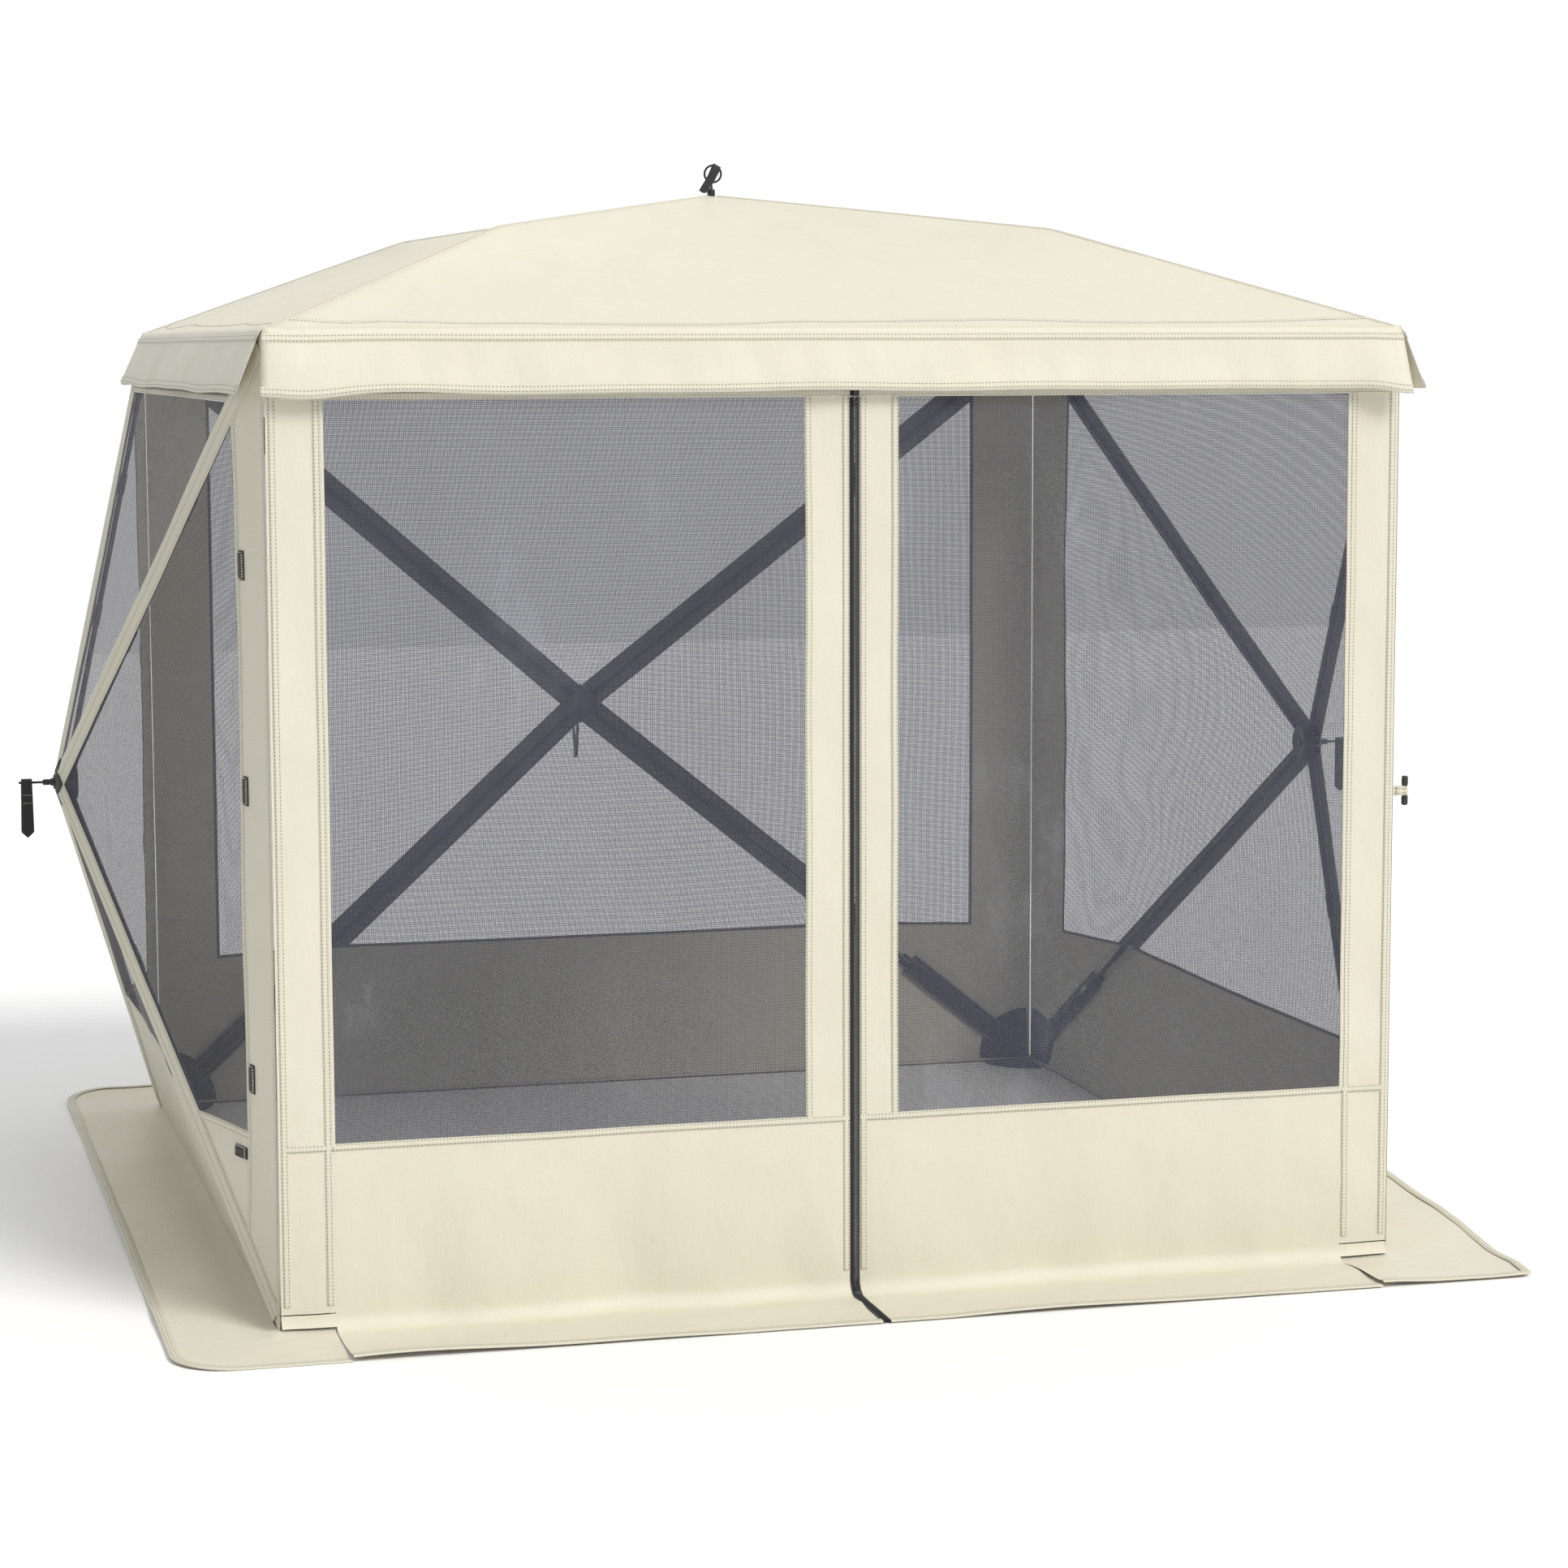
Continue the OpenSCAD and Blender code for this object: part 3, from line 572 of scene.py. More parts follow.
def front_low(x0, x1, nx):
    prof = front_profile(0)
    xs = np.linspace(x0, x1, nx)
    X = np.broadcast_to(xs[None, :], (len(prof), nx))
    Z = np.broadcast_to(prof[:, 0][:, None], X.shape)
    O = np.broadcast_to(prof[:, 1][:, None], X.shape)
    n = front_n(X, np.maximum(Z, 0.03)) * sstep(0.09, 0.0, O) + O
    wave = 0.0028 * (1 + SKN(X * 1.0, O * 2.0)) * sstep(0.02, 0.12, O)
    P = wallpt("front", X, Z, n)
    P[..., 2] += np.maximum(wave, 0)
    L = np.concatenate([[0], np.cumsum(np.linalg.norm(np.diff(prof, axis=0), axis=1))])
    uv = np.stack([X, np.broadcast_to(ZS - L[:, None], X.shape)], -1)
    return P, uv


SKN = smooth_noise(41, 12, 6, 24)


def door(side):
    sg = -1 if side == "left" else 1
    body = "door_" + side
    xi, xo = 0.085 if side == "left" else 0.075, 0.948
    def fx(a):
        return sg * a
    def blend(ob):
        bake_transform(ob)
        return ob
    # netting
    xs, zs = np.linspace(xi, xo, 44), np.linspace(ZS, HEAD, 62)
    X, Z = np.meshgrid(fx(xs), zs)
    p, f, uv = grid(front_map(X, Z), np.stack([X, Z], -1))
    ob = blend(make(body + "_netting", p, f, NET, uv))
    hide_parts(body + "_mesh")
    # zip band and lower panel with its skirt strip
    b = Bag()
    xs2 = np.linspace(0.0075, xi, 8)
    X, Z = np.meshgrid(fx(xs2), zs)
    p, f, uv = grid(front_map(X, Z), np.stack([X, Z], -1))
    b.add(p, f, uv)
    P, uv = front_low(fx(0.0075), fx(xo), 90)
    p, f, uu = grid(P, uv)
    b.add(p, f, uu)
    ob = blend(b.out(body + "_cloth", CREAM))
    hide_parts(body + "_panel")
    # seams round the netting, and the skirt's hem
    b = Bag()
    for path, wd in (([(fx(xi), ZS), (fx(xi), HEAD)], 0.013), ([(fx(0.016), 0.05), (fx(0.016), HEAD)], 0.012),
                     ([(fx(0.010), ZS), (fx(xo), ZS)], 0.013), ([(fx(xo), ZS), (fx(xo), HEAD)], 0.008)):
        P, uv, uz = strip_on("front", path, wd, SEAMP)
        p, f, uu = grid(P, uv)
        b.add(p, f, uu)
    ob = blend(b.out(body + "_seams", SEAM))
    P, uv = front_low(fx(0.0075), fx(xo), 90)
    hem = hem_strip(P[-1], np.array([0, -1, 0]), uv[-1, :, 0])
    p, f, uu = hem
    ob = blend(make(body + "_skirt_hem", p, f, HEM, uu))
    zip_half(side, sg, body, blend)


def hem_strip(edge, outdir, ulen):
    """Rolled hem: a flat loop of cloth folded over an edge. edge is (n, 3)."""
    n = len(edge)
    outd = np.asarray(outdir, float)
    if outd.ndim == 1:
        outd = np.broadcast_to(outd, (n, 3))
    up = np.array([0, 0, 1.0])
    prof = [(-0.0150, 0.0010), (-0.0148, 0.0018), (-0.007, 0.0023), (0.001, 0.0021), (0.0030, 0.0010), (0.0034, -0.0006), (0.0022, -0.0016), (-0.006, -0.0019), (-0.0140, -0.0016)]
    P = np.stack([edge + outd * a + up * l for a, l in prof], 1)
    P[..., 2] = np.maximum(P[..., 2], 0.0004)
    U = np.stack([np.broadcast_to(np.asarray(ulen)[:, None], P.shape[:2]), np.broadcast_to(np.array([a + 0.0065 for a, l in prof])[None, :], P.shape[:2])], -1)
    return grid(P, U)


def zip_half(side, sg, body, blend):
    """Woven tape and one row of coil turns, up the wall and out over the skirt."""
    R = 0.030
    line = [(z, 0.0) for z in np.linspace(1.628, 0.004 + R, 60)]
    line += [(0.004 + R - R * math.sin(a), R - R * math.cos(a)) for a in np.linspace(0, math.pi / 2, 7)[1:]]
    line += [(0.004, o) for o in np.linspace(R, 0.206, 9)[1:]]
    line = np.array(line)
    L = np.concatenate([[0], np.cumsum(np.linalg.norm(np.diff(line, axis=0), axis=1))])
    d = np.gradient(line, axis=0)
    d /= np.linalg.norm(d, axis=1)[:, None]
    nrm = np.stack([d[:, 1] * 0 + (-d[:, 1]) * -1, -d[:, 0]], -1)   # (up, outward) normal of the line
    nrm = np.stack([d[:, 1], -d[:, 0]], -1)
    def at(t, x, lift):
        z = np.interp(t, L, line[:, 0]); o = np.interp(t, L, line[:, 1])
        nz = np.interp(t, L, nrm[:, 0]); no = np.interp(t, L, nrm[:, 1])
        base = 0.0014
        return wallpt("front", x + 0 * t, z + nz * (lift + base), o + no * (lift + base))
    t = np.linspace(0, L[-1], 120)
    prof = [(0.0088, -0.0010), (0.0086, 0.0004), (0.0045, 0.0006), (0.0012, 0.0006), (0.0006, 0.0)]
    P = np.stack([at(t, sg * x, l) for x, l in prof], 1)
    U = np.stack([np.broadcast_to(t[:, None], P.shape[:2]), np.broadcast_to(np.array([x for x, l in prof])[None, :], P.shape[:2])], -1)
    p, f, uu = grid(P, U)
    b = Bag().add(p, f, uu, 0)
    # coil: one low arch for each tooth, alternate sides offset by half a pitch
    pitch = 0.0030
    ts = np.arange(pitch * (0.5 if sg > 0 else 1.0), L[-1] - 0.002, pitch)
    ring = [(-0.0010, 0.0004), (-0.0009, 0.0018), (0.0, 0.0023), (0.0009, 0.0018), (0.0010, 0.0004)]
    for x0, x1 in ((0.0003, 0.0052),):
        for tt in ts:
            q0 = [at(np.array([tt + a]), sg * x0, l)[0] for a, l in ring]
            q1 = [at(np.array([tt + a * 0.75]), sg * x1, l * 0.8)[0] for a, l in ring]
            pts = q0 + q1
            fs = [(i, i + 1, i + 6, i + 5) for i in range(4)] + [(4, 3, 2, 1, 0), (5, 6, 7, 8, 9)]
            b.add(pts, fs, np.zeros((10, 2)), 1)
    ob = blend(b.out(body + "_zip", [ZTAPE, ZIPM], smooth=False))
    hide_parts(body + "_zip_tape")


def front_border():
    b = Bag()
    xs = np.concatenate([np.linspace(-1.0424, 1.0424, 150)])
    zs = np.linspace(HEAD, 1.7475, 9)
    X, Z = np.meshgrid(xs, zs)
    p, f, uv = grid(front_map(X, Z), np.stack([X, Z], -1))
    b.add(p, f, uv)
    for sg in (-1, 1):
        xs = np.linspace(0.945, 1.0436, 9) * sg
        zs = np.linspace(0.036, HEAD, 80)
        X, Z = np.meshgrid(xs, zs)
        p, f, uv = grid(front_map(X, Z), np.stack([X, Z], -1))
        b.add(p, f, uv)
        P, uv = front_low(sg * 0.945, sg * 1.0436, 9)
        P, uv = P[11:15], uv[11:15]
        p, f, uu = grid(P, uv)
        b.add(p, f, uu)
    ob = b.out("front_border_cloth", CREAM)
    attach(ob, "shelter")
    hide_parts("front_wall_border")
    b = Bag()
    for path, wd in (([(-1.033, 0.05), (-1.033, 1.745)], 0.012), ([(1.033, 0.05), (1.033, 1.745)], 0.012),
                     ([(-0.957, 0.05), (-0.957, HEAD)], 0.013), ([(0.957, 0.05), (0.957, HEAD)], 0.013),
                     ([(-1.036, ZS), (-0.95, ZS)], 0.013), ([(0.95, ZS), (1.036, ZS)], 0.013),
                     ([(-1.04, HEAD + 0.006), (1.04, HEAD + 0.006)], 0.014)):
        P, uv, uz = strip_on("front", path, wd, SEAMP)
        p, f, uu = grid(P, uv)
        b.add(p, f, uu)
    ob = b.out("front_border_seams", SEAM)
    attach(ob, "shelter")


# ---------------------------------------------------------------- roof
RN = (smooth_noise(61, 14, 4, 16), smooth_noise(62, 18, 12, 55), ridge(smooth_noise(63, 12, 8, 24)))


def roof_z(x, y):
    """Height of the canopy over a point of the footprint."""
    x, y = np.asarray(x, float), np.asarray(y, float)
    m = np.maximum(np.abs(x), np.abs(y))
    lo = np.minimum(np.abs(x), np.abs(y))
    a = PK - (PK - KZ) * m / KW
    c = E + (KZ - E) * (W - m) / (W - KW)
    kink = np.where(m < KW, a, c)
    mm = np.sqrt((a - c) ** 2 + 0.05 ** 2)
    soft = (a + c - mm) / 2
    off = (m - lo) / np.maximum(m, 1e-6)                 # 0 on a ridge, 1 mid gore
    g = 1 - np.exp(-off * np.maximum(m, 0.02) / 0.10)
    z = kink * (1 - g) + soft * g
    s = m / W
    z = z - 0.016 * g * np.sin(math.pi * np.clip(s, 0, 1)) ** 1.2 * sstep(0, 0.5, off)
    f, h, r = RN
    wr = 0.0022 * f(x, y) + 0.0009 * h(x, y)
    near = np.exp(-((m - KW) / 0.16) ** 2) * np.exp(-(off / 0.35) ** 2) + sstep(0.80, 1.0, s) * np.exp(-(off / 0.22) ** 2)
    wr = wr + 0.0045 * near * r(x * 1.4, y * 1.4)
    return z + wr * g * sstep(0.03, 0.15, s) * sstep(1.0, 0.975, s)


def roof():
    ns, nt = 46, 56
    per = []
    for a, c in (((-1, -1), (1, -1)), ((1, -1), (1, 1)), ((1, 1), (-1, 1)), ((-1, 1), (-1, -1))):
        for k in range(nt):
            per.append((a[0] + (c[0] - a[0]) * k / nt, a[1] + (c[1] - a[1]) * k / nt))
    per = np.array(per) * (W + 0.0005)
    ss = np.concatenate([np.linspace(0.0085, KW / W, ns // 2), np.linspace(KW / W, 1, ns // 2 + 2)[1:]])
    X = ss[:, None] * per[None, :, 0]
    Y = ss[:, None] * per[None, :, 1]
    Z = roof_z(X, Y)
    P = np.stack([X, Y - SH, Z], -1)
    p, f, uv = grid(P, np.stack([X, Y], -1), wrap1=True)
    ob = make("roof_cloth", p, f, CREAM, uv)
    hub_weight(ob)
    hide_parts("roof_canopy")
    # ridge seams, and the faint seam along each eave
    b, ws = Bag(), []
    def add(path, wd, prof):
        path = np.asarray(path, float)
        seg = np.linalg.norm(np.diff(path, axis=0), axis=1)
        L = np.concatenate([[0], np.cumsum(seg)])
        n = int(L[-1] / 0.03) + 2
        t = np.linspace(0, L[-1], n)
        x = np.stack([np.interp(t, L, path[:, 0]), np.interp(t, L, path[:, 1])], -1)
        d = np.gradient(x, axis=0); d /= np.linalg.norm(d, axis=1)[:, None]
        nn = np.stack([-d[:, 1], d[:, 0]], -1)
        ac = np.array([q[0] for q in prof]) * wd
        lf = np.array([q[1] for q in prof])
        xy = x[:, None] + nn[:, None] * ac[None, :, None]
        xy = np.clip(xy, -W, W)
        P = np.stack([xy[..., 0], xy[..., 1] - SH, roof_z(xy[..., 0], xy[..., 1]) + lf[None, :]], -1)
        U = np.stack(np.broadcast_arrays(t[:, None], ac[None, :]), -1)
        pp, ff, uu = grid(P, U)
        b.add(pp, ff, uu)
        ws.append(roof_share(pp[:, 0], pp[:, 1] + SH))
    for sx, sy in ((-1, -1), (1, -1), (1, 1), (-1, 1)):
        add([(sx * 0.012, sy * 0.012), (sx * (W - 0.004), sy * (W - 0.004))], 0.013, SEAMP)
    e = W - 0.045
    for a, c in (((-1, -1), (1, -1)), ((1, -1), (1, 1)), ((1, 1), (-1, 1)), ((-1, 1), (-1, -1))):
        add([(a[0] * e, a[1] * e), (c[0] * e, c[1] * e)], 0.010, [(q[0], q[1] * 0.5) for q in SEAMP])
    ob = b.out("roof_seams", SEAM)
    hub_weight(ob)


# ---------------------------------------------------------------- valance
def valance():
    for k, (side, o, e0, e1) in enumerate((("front", 0.024, 0.008, 0.008), ("left", 0.050, 0.046, 0.008), ("right", 0.050, 0.008, 0.046), ("back", 0.050, 0.046, 0.046))):
        vn = smooth_noise(70 + k, 14, 5, 30, (1, 0.4))
        vf = smooth_noise(80 + k, 14, 22, 90, (1, 0.7))
        nu, nv = 150, 15
        tt = np.linspace(0, 1, nv)
        uu = np.linspace(-1, 1, nu)
        T, U = np.meshgrid(tt, uu, indexing="ij")
        half0 = np.where(U < 0, W + 0.0012 + e0 * T, W + 0.0012 + e1 * T)
        X = U * half0
        Z = 1.7525 - 0.1155 * T
        n = 0.0028 + (o - 0.003) * T
        # the top rolls over from the roof
        roll = sstep(0.12, 0.0, T)
        n = n - 0.0035 * roll
        amp = sstep(0.02, 0.6, T)
        inner = sstep(1.0, 0.975, np.abs(U))
        n = n + (0.0034 * vn(X, Z) + 0.0011 * vf(X, Z)) * amp * (0.35 + 0.65 * inner)
        Zw = Z + 0.0022 * vn(X * 0.6, 0 * Z) * amp
        if side == "front":
            Zw = Zw - 0.006 * np.exp(-((X + 0.97) / 0.06) ** 2) * T + 0.004 * np.exp(-((X + 0.80) / 0.10) ** 2) * T
            n = n + 0.020 * sstep(0.90, 1.05, X) * T
            Zw = Zw - 0.010 * sstep(0.97, 1.05, X) * T
        P = wallpt(side, X, Zw, n)
        p, f, uv = grid(P, np.stack([X, Z], -1))
        ob = make("valance_" + side, p, f, CREAM, uv)
        m = ob.modifiers.new("thick", "SOLIDIFY")
        m.thickness, m.offset = 0.0012, 0
        apply_mods(ob)
        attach(ob, "shelter")
        if side == "front":
            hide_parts("valance")
        # eave seam and hem
        b = Bag()
        for rows, name in (((0.10, 0.22), "eave"), ((0.85, 0.985), "hem")):
            prof = [(0, 0.0002), (0.06, 0.0012), (0.5, 0.0015), (0.94, 0.0012), (1, 0.0002)]
            ts = np.array([rows[0] + (rows[1] - rows[0]) * q[0] for q in prof])
            lift = np.array([q[1] for q in prof]) + 0.0006
            Q = np.stack([np.stack([np.interp(t, tt, P[:, j, c]) for t in ts], 0) for j in range(nu) for c in range(3)], -1)
            Q = Q.reshape(len(ts), nu, 3)
            nd = wallpt(side, np.zeros(1), np.zeros(1), np.ones(1))[0] - wallpt(side, np.zeros(1), np.zeros(1), np.zeros(1))[0]
            Q = Q + nd[None, None, :] * lift[:, None, None]
            wid = (rows[1] - rows[0]) * 0.122
            UU = np.stack(np.broadcast_arrays(X[0][None, :], ((np.array([q[0] for q in prof]) - 0.5) * wid)[:, None]), -1)
            pp, ff, u2 = grid(Q, UU)
            b.add(pp, ff, u2)
        ob = b.out("valance_seams_" + side, SEAM)
        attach(ob, "shelter")


def apply_mods(ob):
    dg = bpy.context.evaluated_depsgraph_get()
    me = bpy.data.meshes.new_from_object(ob.evaluated_get(dg))
    ob.modifiers.clear()
    old = ob.data
    ob.data = me
    me.name = ob.name
    bpy.data.meshes.remove(old)
    return ob


# ---------------------------------------------------------------- ground skirt
def skirts():
    s, o = W + 0.001, 1.250
    inner, outer = [], []
    def seg(i0, i1, o0, o1, n):
        for k in range(n):
            t = k / n
            inner.append((i0[0] + (i1[0] - i0[0]) * t, i0[1] + (i1[1] - i0[1]) * t))
            outer.append((o0[0] + (o1[0] - o0[0]) * t, o0[1] + (o1[1] - o0[1]) * t))
    def corner(i, c, r, a0, a1, n):
        for k in range(n):
            a = math.radians(a0 + (a1 - a0) * k / n)
            inner.append(i); outer.append((c[0] + r * math.cos(a), c[1] + r * math.sin(a)))
    seg((-0.949, -s), (-s, -s), (-0.949, -o - 0.003), (-o + 0.10, -o - 0.003), 8)
    corner((-s, -s), (-o + 0.10, -o + 0.097), 0.10, 270, 180, 10)
    seg((-s, -s), (-s, s), (-o, -o + 0.097), (-o, s + 0.03), 70)
    corner((-s, s), (-o + 0.13, s + 0.074), 0.13, 180, 90, 10)
    seg((-s, s), (s, s), (-o + 0.13, o), (o - 0.13, o), 70)
    corner((s, s), (o - 0.13, s + 0.074), 0.13, 90, 10, 8)
    for k in range(60):
        t = k / 60
        y = s - 2 * s * t
        inner.append((s, y)); outer.append((o - 0.015 + 0.125 * (1 - (y / o) ** 2), y))
    corner((s, -s), (1.235, -1.190), 0.0375, 20, -90, 8)
    outer[-8:] = [(1.2725 + (1.268 - 1.2725) * k / 7 - 0.018 * max(0, k - 4) / 3, -s - 0.1845 * k / 7 - 0.0145 * max(0, k - 5) / 2) for k in range(8)]
    seg((s, -s), (0.949, -s), (1.235, -o - 0.003), (0.949, -o - 0.003), 8)
    inner.append((0.949, -s)); outer.append((0.949, -o - 0.003))
    inner, outer = np.array(inner), np.array(outer)
    nr = 11
    tt = np.linspace(0, 1, nr)
    XY = inner[None] * (1 - tt)[:, None, None] + outer[None] * tt[:, None, None]
    n1, n2 = smooth_noise(91, 14, 5, 22), smooth_noise(92, 16, 15, 60)
    Z = 0.0030 + (0.0032 * (1 + n1(XY[..., 0], XY[..., 1])) + 0.0008 * (1 + n2(XY[..., 0], XY[..., 1]))) * sstep(0.05, 0.5, tt)[:, None]
    Z = np.maximum(Z, 0.0012) + 0.012 * (1 - sstep(0.0, 0.10, tt))[:, None] * 0.6
    P = np.stack([XY[..., 0], XY[..., 1] - SH, Z], -1)
    L = np.concatenate([[0], np.cumsum(np.linalg.norm(np.diff(outer, axis=0), axis=1))])
    p, f, uv = grid(P, np.stack([XY[..., 0], XY[..., 1]], -1))
    me_f = [q for q in f]
    ob = make("ground_skirt", p, me_f, CREAM, uv)
    bm = bmesh.new(); bm.from_mesh(ob.data)
    bmesh.ops.remove_doubles(bm, verts=bm.verts, dist=1e-5)
    bmesh.ops.recalc_face_normals(bm, faces=bm.faces)
    bm.to_mesh(ob.data); bm.free()
    if sum(pl.normal.z for pl in ob.data.polygons) < 0:
        ob.data.flip_normals()
    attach(ob, "shelter")
    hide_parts("skirts")
    d = np.gradient(outer, axis=0)
    d /= np.maximum(np.linalg.norm(d, axis=1), 1e-9)[:, None]
    od = np.stack([-d[:, 1], d[:, 0], 0 * d[:, 0]], -1)
    c = outer.mean(0)
    sgn = np.sign(((outer - c) * od[:, :2]).sum(1).mean())
    pp, ff, uu = hem_strip(P[-1] - od * sgn * 0.004, od * sgn, L)
    ob = make("ground_skirt_hem", pp, ff, HEM, uu)
    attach(ob, "shelter")


# ---------------------------------------------------------------- patches
def corner_patches():
    b = Bag()
    for side in ("left", "back", "right"):
        for m in (-1, 1):
            rs = np.linspace(0.004, 0.121, 10)
            aa = np.linspace(math.radians(92), math.radians(178), 15)
            R, A = np.meshgrid(rs, aa, indexing="ij")
            u = m * (W - 0.006 + R * np.cos(A)); z = 0.006 + R * np.sin(A)
            p, f, uv = grid(wall_map(side, u, z, -0.0022), np.stack([u, z], -1))
            b.add(p, f, uv)
    for m in (-1, 1):
        R, A = np.meshgrid(np.linspace(0.004, 0.085, 7), np.linspace(math.radians(92), math.radians(178), 11), indexing="ij")
        x = m * (W - 0.006 + R * np.cos(A)); z = 0.006 + R * np.sin(A)
        p, f, uv = grid(wallpt("front", x, z, np.full(x.shape, -0.0030)), np.stack([x, z], -1))
        b.add(p, f, uv)
    # quarter discs laid on the ground at the back corners
    for mx, my in ((-1, 1), (1, 1), (-1, -1), (1, -1)):
        r1 = 0.115 if my > 0 else 0.08
        R, A = np.meshgrid(np.linspace(0.005, r1, 8), np.linspace(math.radians(3), math.radians(87), 13), indexing="ij")
        x = mx * (W - 0.004 - R * np.cos(A)); y = my * (W - 0.004 - R * np.sin(A)) - SH
        P = np.stack([x, y, 0.0022 + 0.004 * (R / r1) * 0.3 + 0 * x], -1)
        p, f, uv = grid(P, np.stack([x, y], -1))
        b.add(p, f, uv)
    ob = b.out("corner_reinforcements", OXF)
    m = ob.modifiers.new("thick", "SOLIDIFY")
    m.thickness, m.offset = 0.0011, 0
    apply_mods(ob)
    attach(ob, "shelter")
    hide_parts("corner_patches")


def hook_patches():
    """Pair of black keeper straps on each column: a pad and a narrower strap sewn over it."""
    for side in ("left", "back", "right"):
        b, uzs = Bag(), []
        spots = []
        if side in ("left", "right"):
            m = 1 if side == "left" else -1
            spots += [(m * 0.926, z, 0.024, 0.052, 0) for z in (1.342, 0.947, 0.435)]
            spots += [(-m * 0.926, z, 0.034, 0.050, 1) for z in (1.486, 1.046, 0.624)]
        else:
            spots += [(q, z, 0.034, 0.050, 1) for q in (-0.926, 0.926) for z in (1.486, 1.046, 0.624)]
        spots += [(q * 0.872, 0.295, 0.052, 0.022, 0) for q in (-1, 1)]
        for u, z, a, c, kind in spots:
            for (fa, fc, l0, l1, mi) in ((1.0, 1.0, 0.0016, 0.0024, 0), (0.62 if c > a else 1.0, 1.0 if c > a else 0.62, 0.0024, 0.0044, 1)):
                nu, nv = 8, 10
                x = np.linspace(-0.5, 0.5, nu); y = np.linspace(-0.5, 0.5, nv)
                X, Y = np.meshgrid(x, y, indexing="ij")
                edge = np.minimum(0.5 - np.abs(X), 0.5 - np.abs(Y))
                lift = l0 - 0.0012 * (edge <= 0.001) + (l1 - l0) * sstep(0.0, 0.12, edge)
                uu, zz = u + X * a * fa, z + Y * c * fc
                p, f, uv = grid(wall_map(side, uu, zz, lift), np.stack([uu, zz], -1))
                b.add(p, f, uv, mi)
                uzs.append(np.stack([uu, zz], -1).reshape(-1, 2))
            # pale box stitch
            for sx, sy, horiz in ((-0.40, 0, 0), (0.40, 0, 0), (0, -0.44, 1), (0, 0.44, 1)):
                n = 9 if (c > a) != bool(horiz) else 5
                for k in range(n):
                    t = -0.40 + 0.8 * (k + 0.5) / n
                    cu, cz = (u + t * a, z + sy * c) if horiz else (u + sx * a, z + t * c)
                    hl, hw = (0.8 * (a if horiz else c) / n) * 0.33, 0.0005
                    du, dz = (hl, hw) if horiz else (hw, hl)
                    q = np.array([[cu - du, cz - dz], [cu + du, cz - dz], [cu + du, cz + dz], [cu - du, cz + dz]])
                    lo = wall_map(side, q[:, 0], q[:, 1], 0.0022); hi = wall_map(side, q[:, 0], q[:, 1], 0.0050)
                    b.add(np.concatenate([lo, hi]), [(4, 5, 6, 7), (0, 1, 5, 4), (1, 2, 6, 5), (2, 3, 7, 6), (3, 0, 4, 7), (3, 2, 1, 0)], np.zeros((8, 2)), 2)
                    uzs.append(np.concatenate([q, q]))
        ob = b.out(side + "_keepers", [OXF, HOOKM, THREAD])
        hub_weight(ob)
        if side == "left":
            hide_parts("hook_patches")


# ---------------------------------------------------------------- tubes, lathes and straps
def frames(path):
    path = np.asarray(path, float)
    d = np.gradient(path, axis=0)
    d /= np.linalg.norm(d, axis=1)[:, None]
    n = np.zeros_like(path)
    a = np.array([0, 0, 1.0]) if abs(d[0, 2]) < 0.9 else np.array([1.0, 0, 0])
    n[0] = a - d[0] * (a @ d[0]); n[0] /= np.linalg.norm(n[0])
    for i in range(1, len(path)):
        v = n[i - 1] - d[i] * (n[i - 1] @ d[i])
        n[i] = v / np.linalg.norm(v)
    return path, d, n, np.cross(d, n)


def tube(path, rad, seg=16, caps=True):
    path, d, n, m = frames(path)
    rad = np.broadcast_to(np.asarray(rad, float), (len(path),))
    a = np.linspace(0, 2 * math.pi, seg, endpoint=False)
    ring = np.cos(a)[None, :, None] * n[:, None] + np.sin(a)[None, :, None] * m[:, None]
    P = path[:, None] + ring * rad[:, None, None]
    L = np.concatenate([[0], np.cumsum(np.linalg.norm(np.diff(path, axis=0), axis=1))])
    U = np.stack(np.broadcast_arrays(L[:, None], (a * rad.mean())[None, :]), -1)
    p, f, u = grid(P, U, wrap1=True)
    f = list(f)
    if caps:
        k = len(p)
        f.append(tuple(range(seg - 1, -1, -1)))
        f.append(tuple(range(k - seg, k)))
    return p, f, u


def lathe(prof, seg=40):
    """prof is a list of (radius, height) about local z, closed at both ends on the axis or open."""
    a = np.linspace(0, 2 * math.pi, seg, endpoint=False)
    P = np.array([[(r * math.cos(t), r * math.sin(t), z) for t in a] for r, z in prof])
    U = np.array([[(t * 0.02, k * 0.004) for t in a] for k in range(len(prof))])
    p, f, u = grid(P, U, wrap1=True)
    return p, f, u


